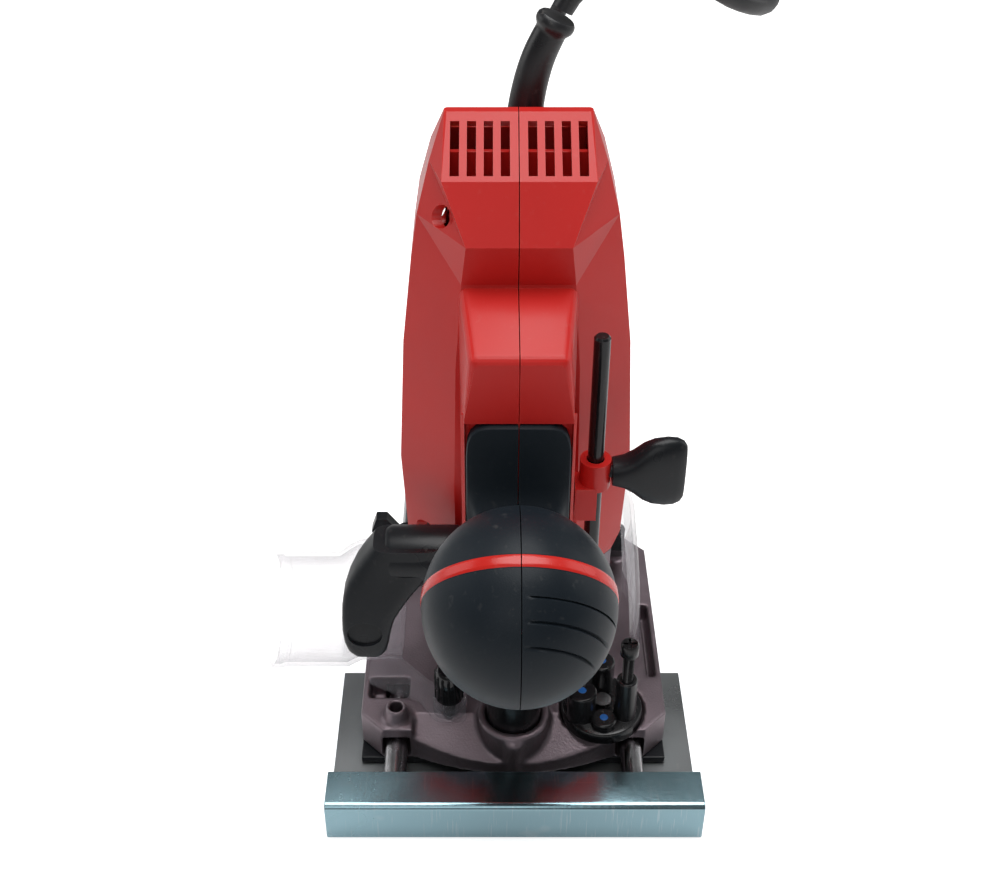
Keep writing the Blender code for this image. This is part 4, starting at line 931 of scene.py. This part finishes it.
ballSet = {
    "x": 96.0, "z": 123.0, "radius": 28.7, "stretch": (1, 0.985, 1.025),
    "lean": (0.900, 0.436), "stripe": (-4.1, -0.4), "wall": 2.6,
    "grooves": (7.5, 13.9, 19.5), "grooveHalf": 0.6, "grooveDepth": 0.8,
    # reach from the spindle, half width, bottom, top
    "neck": [
        (58.2, 15.6, 108.6, 161.0), (60.9, 15.6, 108.6, 161.0), (61.4, 15.3, 109.0, 160.6),
        (61.5, 15.2, 109.2, 143), (61.9, 14.7, 109.4, 139.2), (63.0, 13.9, 109.6, 135.4),
        (65.4, 13.2, 110, 132.8), (69.0, 13.1, 110, 132.4), (74.0, 14.0, 108.6, 136), (80.0, 15.5, 107, 140),
    ],
}


def makeBall(side, half, name, node):
    bm = drawn()
    lean = ballSet["lean"]
    axis = Vector((side * lean[0], 0, -lean[1])).normalized()
    bmesh.ops.create_uvsphere(bm, u_segments=96, v_segments=60, radius=ballSet["radius"])
    bmesh.ops.rotate(bm, cent=(0, 0, 0), matrix=axis.to_track_quat("Z", "Y").to_matrix(), verts=bm.verts)
    low, high = ballSet["stripe"]
    cuts = [low, high]
    for groove in ballSet["grooves"]:
        cuts += [groove - ballSet["grooveHalf"], groove, groove + ballSet["grooveHalf"]]
    for place in cuts:
        geom = list(bm.verts) + list(bm.edges) + list(bm.faces)
        bmesh.ops.bisect_plane(bm, geom=geom, plane_co=axis * place, plane_no=axis, dist=0.001)
    for vert in bm.verts:
        reach = vert.co.dot(axis)
        out = vert.co.normalized()
        for groove in ballSet["grooves"]:
            if abs(reach - groove) < 0.01:
                across = -vert.co.y
                widest = math.sqrt(max(1, ballSet["radius"] ** 2 - groove ** 2))
                fade = min(1, max(0, (across - 2.2) / 0.8))
                fade *= min(1, max(0, (widest * 0.999 - across) / 1.2))
                if across > 0:
                    vert.co -= out * ballSet["grooveDepth"] * fade
    for face in bm.faces:
        face.material_index = int(low < face.calc_center_median().dot(axis) < high)
    bmesh.ops.scale(bm, vec=ballSet["stretch"], verts=bm.verts)
    bmesh.ops.translate(bm, vec=(side * ballSet["x"], 0, ballSet["z"]), verts=bm.verts)
    geom = list(bm.verts) + list(bm.edges) + list(bm.faces)
    bmesh.ops.bisect_plane(
        bm, geom=geom, plane_co=(0, half * seam, 0), plane_no=(0, half, 0), clear_inner=True, dist=0.0001
    )
    band = [face for face in bm.faces if face.material_index == 1]
    bmesh.ops.inset_region(
        bm, faces=band, thickness=0.3, depth=0.22, use_boundary=False, use_even_offset=True
    )
    ball = makePiece(name, bm, ["softGrip", "redStripe"], "motor_unit", node)
    wall = ball.modifiers.new("Solidify", "SOLIDIFY")
    wall.thickness = ballSet["wall"] * mm
    wall.offset = -1
    applied(ball)
    if side == 1:
        button = addDrum(drawn(), 4.8, 15, 40, (96, 0, 129), "Y")
        trigger = addBox(drawn(), (96 - 8.3, -40, 123 - 9.3), (96 + 8.3, -18, 123 + 9.3), 2.0)
        carve(ball, [trigger if half == -1 else button], selfToo=True)
    rounding(ball, 0.2, 2, 50)

    neck = drawn()
    ring = ringOf(neck, 72, 7)
    grow(neck, ring, [alongX(side * x, w, z0, z1) for x, w, z0, z1 in ballSet["neck"]])
    geom = list(neck.verts) + list(neck.edges) + list(neck.faces)
    bmesh.ops.bisect_plane(
        neck, geom=geom, plane_co=(0, half * seam, 0), plane_no=(0, half, 0), clear_inner=True, dist=0.0001
    )
    bmesh.ops.holes_fill(neck, edges=neck.edges, sides=0)
    bmesh.ops.recalc_face_normals(neck, faces=neck.faces)
    makePiece(name + "Neck", neck, "softGrip", "motor_unit", (), 0.35, 3, 40)


for side, sideName in ((-1, "left"), (1, "right")):
    for half, halfName in ((-1, "front"), (1, "back")):
        makeBall(side, half, f"ball{sideName.title()}{halfName.title()}", f"ball_{sideName}_{halfName}")
print("the handles are made")


# The lock lever.

leverSet = {
    "x": -46.0, "z": 98.0, "radius": 10.0, "low": 18.4, "high": 42.0,
    # height over the axis, and where the arm runs across x and y there
    "arm": [
        (8, (-8, 6), (24, 46)), (4, (-9, 6), (24, 49)), (0, (-10, 5.2), (26, 51.8)),
        (-4, (-11.2, 2.5), (29.6, 54.2)), (-8, (-12.6, -1), (33.4, 55.8)), (-12, (-14, -3), (36.6, 56.5)),
        (-16, (-15.3, -5), (39.3, 56.7)), (-20, (-16.6, -6.6), (40.6, 56.7)),
        (-24, (-17.5, -7.6), (41.4, 56.2)), (-27, (-17.9, -8.4), (42.2, 55.2)),
        (-29, (-17.6, -9.0), (43.8, 53.2)), (-29.8, (-16.6, -10), (45.8, 51)),
    ],
}


def makeLever():
    bm = drawn()
    x0, z0 = leverSet["x"], leverSet["z"]
    low, high, radius = leverSet["low"], leverSet["high"], leverSet["radius"]
    profile = [
        (0, high + 1.2), (7.2, high + 1.2), (9.2, high), (radius, high - 1.8), (radius, low), (0, low),
    ]
    addTurned(bm, profile, (x0, 0, z0), "Y", 64)
    makePiece("lockLever", bm, "blackPlastic", "lever", "lock_lever", 0.5, 3, 35)

    arm = drawn()
    ring = ringOf(arm, 56, 4.6)
    places = []
    for z, xs, ys in leverSet["arm"]:
        middle = Vector((x0 + (xs[0] + xs[1]) / 2, (ys[0] + ys[1]) / 2, z0 + z))
        size = Matrix.Diagonal(((xs[1] - xs[0]) / 2, (ys[1] - ys[0]) / 2, 1, 1))
        places.append(Matrix.Translation(middle) @ size)
    grow(arm, ring, places)
    armPiece = makePiece("leverArm", arm, "blackPlastic", "lever")
    carve(armPiece, leverHollows())
    rounding(armPiece, 0.35, 3, 35)


def leverHollows():  # the finger pocket and the slot in the arm
    oval, slot = drawn(), drawn()
    bmesh.ops.create_cone(
        oval, cap_ends=True, segments=48, radius1=5.8, radius2=5.8, depth=2.2,
        matrix=Matrix.Translation((-62.2, 49.2, 77.8)) @ Matrix.Rotation(math.radians(-74), 4, "Y")
        @ Matrix.Diagonal((0.74, 1.0, 1, 1)),
    )
    addBox(slot, (-60, 30.8, 97.4), (-54.2, 38.6, 100.2), 1.0)
    return [oval, slot]


makeLever()
print("the lever is made")


# The depth stop.

stopSet = {
    "x": -46.0, "y": -24.2, "knobZ": 133.0,
    # reach from the rod towards the front, half width, half height
    "knob": [
        (-5.3, 4.2, 4.2), (-6.5, 4.5, 4.5), (-9, 4.7, 5.2), (-12, 4.9, 7.4), (-15, 4.9, 10.3),
        (-18, 4.7, 12.0), (-22, 4.3, 12.8), (-25, 3.9, 12.6), (-27, 3.2, 11.6), (-28, 2.2, 10),
    ],
}


def makeDepthStop():
    bm = drawn()
    profile = [(0, 183), (1.9, 183), (2.5, 182.3), (2.5, 101.6), (1.9, 101), (0, 101)]
    addTurned(bm, profile, (stopSet["x"], stopSet["y"], 0), steps=40)
    makePiece("depthRod", bm, "blackSteel", "stop_rod", "depth_rod")

    knob = drawn()
    ring = ringOf(knob, 48, 2.5)
    at = (stopSet["x"], stopSet["y"], stopSet["knobZ"])
    grow(knob, ring, [alongY(at[1] + y, at[0], at[2], halfX, halfZ) for y, halfX, halfZ in stopSet["knob"]])
    addDrum(knob, 2, -9, -2.8, at, "Y", sides=24)
    makePiece("depthKnob", knob, "blackPlastic", "stop_knob", "depth_knob", 0.5, 3, 35)
    cadCopy("depthBracket", "depth_bracket", "redPlastic", "motor_unit", 0.35)


makeDepthStop()
print("the depth stop is made")


# The turret with its four steps.

turretSet = {
    "x": -41.5, "y": -32.0, "radius": 14.75, "circle": 9.0, "screwAt": 240,
    "steps": [(240, 3.7, 40), (120, 5.2, 34), (0, 4.7, 35), (180, 4.5, 25)],  # place in degrees, radius, top
}


def stepPlace(degrees):
    angle = math.radians(degrees)
    x, y = turretSet["circle"] * math.cos(angle), turretSet["circle"] * math.sin(angle)
    return (turretSet["x"] + x, turretSet["y"] + y, 0)


def makeTurret():
    bm = drawn()
    at = (turretSet["x"], turretSet["y"], 0)
    radius = turretSet["radius"]
    profile = [
        (2.3, 21.2), (5.2, 21.2), (5.9, 22), (radius - 1.6, 22), (radius - 0.5, 21.6),
        (radius, 20.6), (radius, 17.3), (2.3, 17.3),
    ]
    addTurned(bm, profile, at, steps=72, closed=True)
    for degrees, width, top in turretSet["steps"]:
        place = stepPlace(degrees)
        if degrees == turretSet["screwAt"]:
            shape = [
                (2.2, top), (width - 0.4, top), (width, top - 0.5), (width + 0.3, 23),
                (width + 0.6, 21.5), (2.2, 21.5),
            ]
            addTurned(bm, shape, place, steps=40, closed=True)
        else:
            shape = [
                (0, top), (width - 0.5, top), (width, top - 0.5), (width, 23), (width + 0.3, 21.5),
                (0, 21.5),
            ]
            addTurned(bm, shape, place, steps=40)
            dot = [(0, top + 0.15), (1.5, top + 0.15), (1.5, top - 0.3), (0, top - 0.3)]
            addTurned(bm, dot, place, steps=24, look=1)
    looks = ["glossBlack", "bluePaint"]
    makePiece("turretDisc", bm, looks, "turret", "turret_disc", 0.2, 2, 35)

    screw = drawn()
    place = stepPlace(turretSet["screwAt"])
    threads = []
    z = 51.6
    while z > 27:
        threads += [(2.0, z), (1.65, z - 0.4)]
        z -= 0.8
    profile = [(0, 57.2), (2.7, 57.5), (3.2, 56.7), (3.2, 52.4), (2.9, 52), *threads, (0, 26.6)]
    addTurned(screw, profile, place, steps=40)
    stop = makePiece("turretStopScrew", screw, "blackSteel", "turret", "turret_stop_screw")
    slots = [
        addBox(drawn(), (place[0] - 2.4, place[1] - 0.5, 56), (place[0] + 2.4, place[1] + 0.5, 59)),
        addBox(drawn(), (place[0] - 0.5, place[1] - 2.4, 56), (place[0] + 0.5, place[1] + 2.4, 59)),
    ]
    carve(stop, slots)


makeTurret()
print("the turret is made")


# The base casting, its columns and its sole.

baseSet = {
    "bossX": -56.6,
    "boss": [(0, 20.9), (3.6, 20.9), (4.1, 20.4), (4.1, 6), (0, 6)],  # radius and height
    "grain": 0.0008,  # in metres, the size of the cast skin's facets
}


def makeBase():
    bm = bmesh.new()
    bm.from_mesh(frame["nodes"]["base_casting"].data)
    bmesh.ops.remove_doubles(bm, verts=bm.verts, dist=0.00001)
    extra = drawn()
    addTurned(extra, baseSet["boss"], (baseSet["bossX"], 0, 0), steps=32)
    bmesh.ops.translate(extra, vec=(0, spindleY, 0), verts=extra.verts)
    bmesh.ops.scale(extra, vec=(mm, mm, mm), verts=extra.verts)
    mesh = bpy.data.meshes.new("boss")
    extra.to_mesh(mesh)
    extra.free()
    bm.from_mesh(mesh)
    bpy.data.meshes.remove(mesh)
    base = makePiece(
        "baseCasting", bm, "castAluminium", "base", "base_casting", inRow=True
    )
    remesh = base.modifiers.new("Remesh", "REMESH")
    remesh.mode = "VOXEL"
    remesh.voxel_size = baseSet["grain"]
    remesh.use_smooth_shade = True
    soften = base.modifiers.new("Smooth", "SMOOTH")
    soften.factor = 0.5
    soften.iterations = 3
    applied(base)
    for polygon in base.data.polygons:
        polygon.use_smooth = True


makeBase()
for side, sideName in (("left", "Left"), ("right", "Right")):
    cadCopy("column" + sideName, "column_" + side, "blackSteel", "base", 0.0)
cadCopy("solePlate", "sole_plate", "blackPlastic", "base", 0.6)
print("the base is made")


# The fence with its rods and wing screws.

fenceSet = {
    "face": -83.3, "height": 16.7, "sheet": 1.8, "flange": 15.5, "end": -7.0, "half": 65.0, "notch": 33.0,
}


def makeFence():
    bm = drawn()
    x0, top, t = fenceSet["face"], fenceSet["height"], fenceSet["sheet"]
    outline = [
        (x0 + fenceSet["flange"], top), (x0, top), (x0, 0), (fenceSet["end"], 0),
        (fenceSet["end"], t), (x0 + t, t), (x0 + t, top - t), (x0 + fenceSet["flange"], top - t),
    ]
    verts = [bm.verts.new((x, -fenceSet["half"], z)) for x, z in outline]
    face = bm.faces.new(verts)
    made = bmesh.ops.extrude_face_region(bm, geom=[face])["geom"]
    moved = [item for item in made if isinstance(item, bmesh.types.BMVert)]
    bmesh.ops.translate(bm, vec=(0, 2 * fenceSet["half"], 0), verts=moved)
    bmesh.ops.recalc_face_normals(bm, faces=bm.faces)

    def alongEdges(x, z):
        return [
            edge for edge in bm.edges
            if all(abs(vert.co.x - x) < 0.01 and abs(vert.co.z - z) < 0.01 for vert in edge.verts)
        ]

    for x, z, bend, steps in ((x0, top, 2.4, 8), (x0 + t, top - t, 0.6, 4), (x0, 0, 0.8, 3)):
        bmesh.ops.bevel(
            bm, geom=alongEdges(x, z), offset=bend, segments=steps, profile=0.5, affect="EDGES", material=-1
        )
    for face in bm.faces:
        # the lower plate takes the darker copy of the zinc finish: painted shade
        middle = face.calc_center_median()
        if middle.z < t + 0.1 and middle.x > x0 + t + 1:
            face.material_index = 1
    fence = makePiece("fenceSheet", bm, ["zincSteel", "zincInPaintedShade"], "fence", "fence_sheet")
    carve(fence, [addDrum(drawn(), fenceSet["notch"], -1, t + 1, sides=96)])
    rounding(fence, 0.35, 2, 40)
    for name, node in (("guideRodFront", "guide_rod_front"), ("guideRodBack", "guide_rod_back")):
        cadCopy(name, node, "brightSteel", "fence", 0.5)


makeFence()
for name, node, body in (
    ("wingScrewFront", "wing_screw_front", "clamp_front"),
    ("wingScrewBack", "wing_screw_back", "clamp_back"),
):
    cadCopy(name, node, "blackPlastic", body, 1.1, 4, 20)
print("the fence is made")


# The clear chip guard and dust adapter.

clearPieces = {
    "guard": {"foot": 49.5, "top": 43.6, "low": 20.3, "high": 80.0, "wall": 1.5, "half": 24},
    "duct": {
        "inlet": 41.0, "edge": 56.0, "round": 66.0, "mouth": 91.0,
        "halfX": 24.0, "halfZ": 15.0, "radius": 22.5, "z": 29.3, "foot": 20.3, "sides": 64,
    },
    "knob": {"x": -42.5, "y": 23.0, "top": 34.3, "ridges": 14},
}


def makeGuard():
    setting = clearPieces["guard"]
    bm = drawn()
    levels = 8
    verts = []
    for k in range(levels + 1):
        t = k / levels
        radius = setting["foot"] + (setting["top"] - setting["foot"]) * t + 0.6 * math.sin(math.pi * t)
        angle = math.radians(-90 - setting["half"])
        z = setting["low"] + (setting["high"] - setting["low"]) * t
        inside = radius - setting["wall"] / 2
        verts.append(bm.verts.new((inside * math.cos(angle), inside * math.sin(angle), z)))
    edges = [bm.edges.new(pair) for pair in zip(verts, verts[1:])]
    swept = math.radians(2 * setting["half"])
    bmesh.ops.spin(bm, geom=verts + edges, cent=(0, 0, 0), axis=(0, 0, 1), angle=swept, steps=28)
    bmesh.ops.recalc_face_normals(bm, faces=bm.faces)
    guard = makePiece("chipGuard", bm, "clearPlastic", "base", "chip_guard")
    wall = guard.modifiers.new("Solidify", "SOLIDIFY")
    wall.thickness = setting["wall"] * mm
    wall.offset = 0
    rounding(guard, 0.4, 2, 50)


def makeAdapter():
    setting = clearPieces["duct"]
    bm = drawn()
    foot, count = setting["foot"], setting["sides"]
    levels = []
    # how far back, and how round the duct is there; over one, it flares
    stops = [
        (setting["inlet"], 0.0), (48.0, 0.0), (setting["edge"], 0.05), (59.0, 0.3), (62.0, 0.65),
        (setting["round"], 1.0), (74.0, 1.0), (83.0, 1.0), (86.5, 1.0), (87.0, 1.06),
        (setting["mouth"] - 0.2, 1.06),
    ]
    for y, share in stops:
        share, flare = min(share, 1.0), max(0.0, share - 1.0) * 10
        points = []
        for j in range(count):
            angle = 2 * math.pi * j / count
            c, s = math.cos(angle), math.sin(angle)
            power = 5 - 3 * share
            reach = (abs(c) ** power + abs(s) ** power) ** (-1 / power)
            halfX = setting["halfX"] + (setting["radius"] - setting["halfX"]) * share - 1.6 + flare
            halfZ = setting["halfZ"] + (setting["radius"] - setting["halfZ"]) * share - 1.6 + flare
            middle = foot + setting["halfZ"] + (setting["z"] - foot - setting["halfZ"]) * share
            points.append((halfX * reach * c, y, max(middle + halfZ * reach * s, 7.0)))
        levels.append(points)
    verts = ringOf(bm, count)
    edges = list({edge for vert in verts for edge in vert.link_edges})
    for vert, co in zip(verts, levels[0]):
        vert.co = co
    for points in levels[1:]:
        made = bmesh.ops.extrude_edge_only(bm, edges=edges)["geom"]
        rising = set(item for item in made if isinstance(item, bmesh.types.BMVert))
        edges = [item for item in made if isinstance(item, bmesh.types.BMEdge) and item.is_boundary]
        verts = [next(e.other_vert(v) for e in v.link_edges if e.other_vert(v) in rising) for v in verts]
        for vert, co in zip(verts, points):
            vert.co = co
    bmesh.ops.recalc_face_normals(bm, faces=bm.faces)
    duct = makePiece("dustAdapter", bm, "clearPlastic", "base", "dust_adapter")
    wall = duct.modifiers.new("Solidify", "SOLIDIFY")
    wall.thickness = 1.7 * mm
    wall.offset = 0
    rounding(duct, 0.35, 2, 50)


def makeFlange():
    foot = clearPieces["duct"]["foot"]
    flange = drawn()
    outline = [
        (-18, 42), (-18, 53.5), (-30, 53.5), (-35, 44), (-39, 34), (-49, 28), (-49, 16.8), (-36, 16.8),
        (-31, 30),
    ]
    verts = [flange.verts.new((x, y, foot)) for x, y in outline]
    face = flange.faces.new(verts)
    made = bmesh.ops.extrude_face_region(flange, geom=[face])["geom"]
    raised = [item for item in made if isinstance(item, bmesh.types.BMVert)]
    bmesh.ops.translate(flange, vec=(0, 0, 2), verts=raised)
    upright = [e for e in flange.edges if abs(e.verts[0].co.z - e.verts[1].co.z) > 1]
    bmesh.ops.bevel(flange, geom=upright, offset=2.4, segments=4, profile=0.5, affect="EDGES", material=-1)
    bmesh.ops.recalc_face_normals(flange, faces=flange.faces)
    boss = [
        (2.6, 27), (5.2, 27), (5.8, 26.5), (5.8, 24.6), (5.3, 24.3), (5.3, 23.7), (5.8, 23.4), (5.8, 20.4),
        (2.6, 20.4),
    ]
    addTurned(flange, boss, (clearPieces["knob"]["x"], clearPieces["knob"]["y"], 0), steps=48, closed=True)
    makePiece("adapterFlange", flange, "clearPlastic", "base", (), 0.35, 2, 35)


def makeKnob():
    setting = clearPieces["knob"]
    top, ridges = setting["top"], setting["ridges"]
    knob = drawn()
    profile = [
        (0, top + 6.7), (3.8, top + 6.7), (4.7, top + 5.6), (4.9, top), (4.9, 27.4), (2, 27.4),
        (2, 12), (0, 12),
    ]
    addTurned(knob, profile, (setting["x"], setting["y"], 0), steps=48)
    for k in range(ridges):
        angle = 2 * math.pi * k / ridges
        x, y = setting["x"] + 4.8 * math.cos(angle), setting["y"] + 4.8 * math.sin(angle)
        addTurned(knob, [(0, 40), (0.5, 39.6), (0.5, 28), (0, 28)], (x, y, 0), steps=8)
    makePiece("adapterKnob", knob, "glossBlack", "adapter_clamp", "adapter_knob")


makeGuard()
makeAdapter()
makeFlange()
makeKnob()
print("the clear pieces are made")


# The small controls, and finishes for the plain pieces that stay.

cadCopy("bearingBracket", "bearing_bracket", "castAluminium", "motor_unit", 0.5)
cadCopy("switchTrigger", "trigger", "redPlastic", "switch_trigger", 0.4)
cadCopy("lockOnButton", "lock_on_button", "redPlastic", "lock_on", 0.6)
cadCopy("spindleLockButton", "spindle_lock_button", "blackPlastic", "spindle_lock", 0.5)
cadCopy("colletNut", "collet_nut", "brightSteel", "rotor", 0.5)

dialSet = {"x": 26.5, "z": 198, "radius": 10, "ridges": 30, "ridgeCircle": 9.75}


def makeDial():
    bm = drawn()
    radius, ridges = dialSet["radius"], dialSet["ridges"]
    profile = [(0, 3), (8.6, 3), (radius, 2.2), (radius, -2.2), (8.6, -3), (0, -3)]
    addTurned(bm, profile, (dialSet["x"], 0, dialSet["z"]), "Y", 72)
    for k in range(ridges):
        angle, reach = 2 * math.pi * k / ridges, dialSet["ridgeCircle"]
        place = (dialSet["x"] + reach * math.cos(angle), 0, dialSet["z"] + reach * math.sin(angle))
        addTurned(bm, [(0, 2.0), (0.5, 1.8), (0.5, -1.8), (0, -2.0)], place, "Y", 6)
    makePiece("speedDial", bm, "blackPlastic", "dial", "speed_dial")


makeDial()

slotFinish = {
    "red_plastic": "redPlastic", "black_plastic": "blackPlastic", "soft_grip": "softGrip",
    "clear_plastic": "clearPlastic", "cast_aluminium": "castAluminium", "bright_steel": "brightSteel",
    "zinc_steel": "zincSteel", "dark_steel": "blackSteel", "brass": "brass", "copper": "windingCopper",
    "bronze": "bronze", "carbon": "carbonBlack", "cable_rubber": "cableRubber",
}
nodeSlots = {item["node"]: item["material_slot"] for item in frame["record"]["subparts"]}
for node, obj in frame["nodes"].items():
    if not obj.material_slots:
        obj.data.materials.append(None)
    for slot in obj.material_slots:
        slot.material = finish[slotFinish[nodeSlots[node]]]
print("finishes are on the plain pieces")
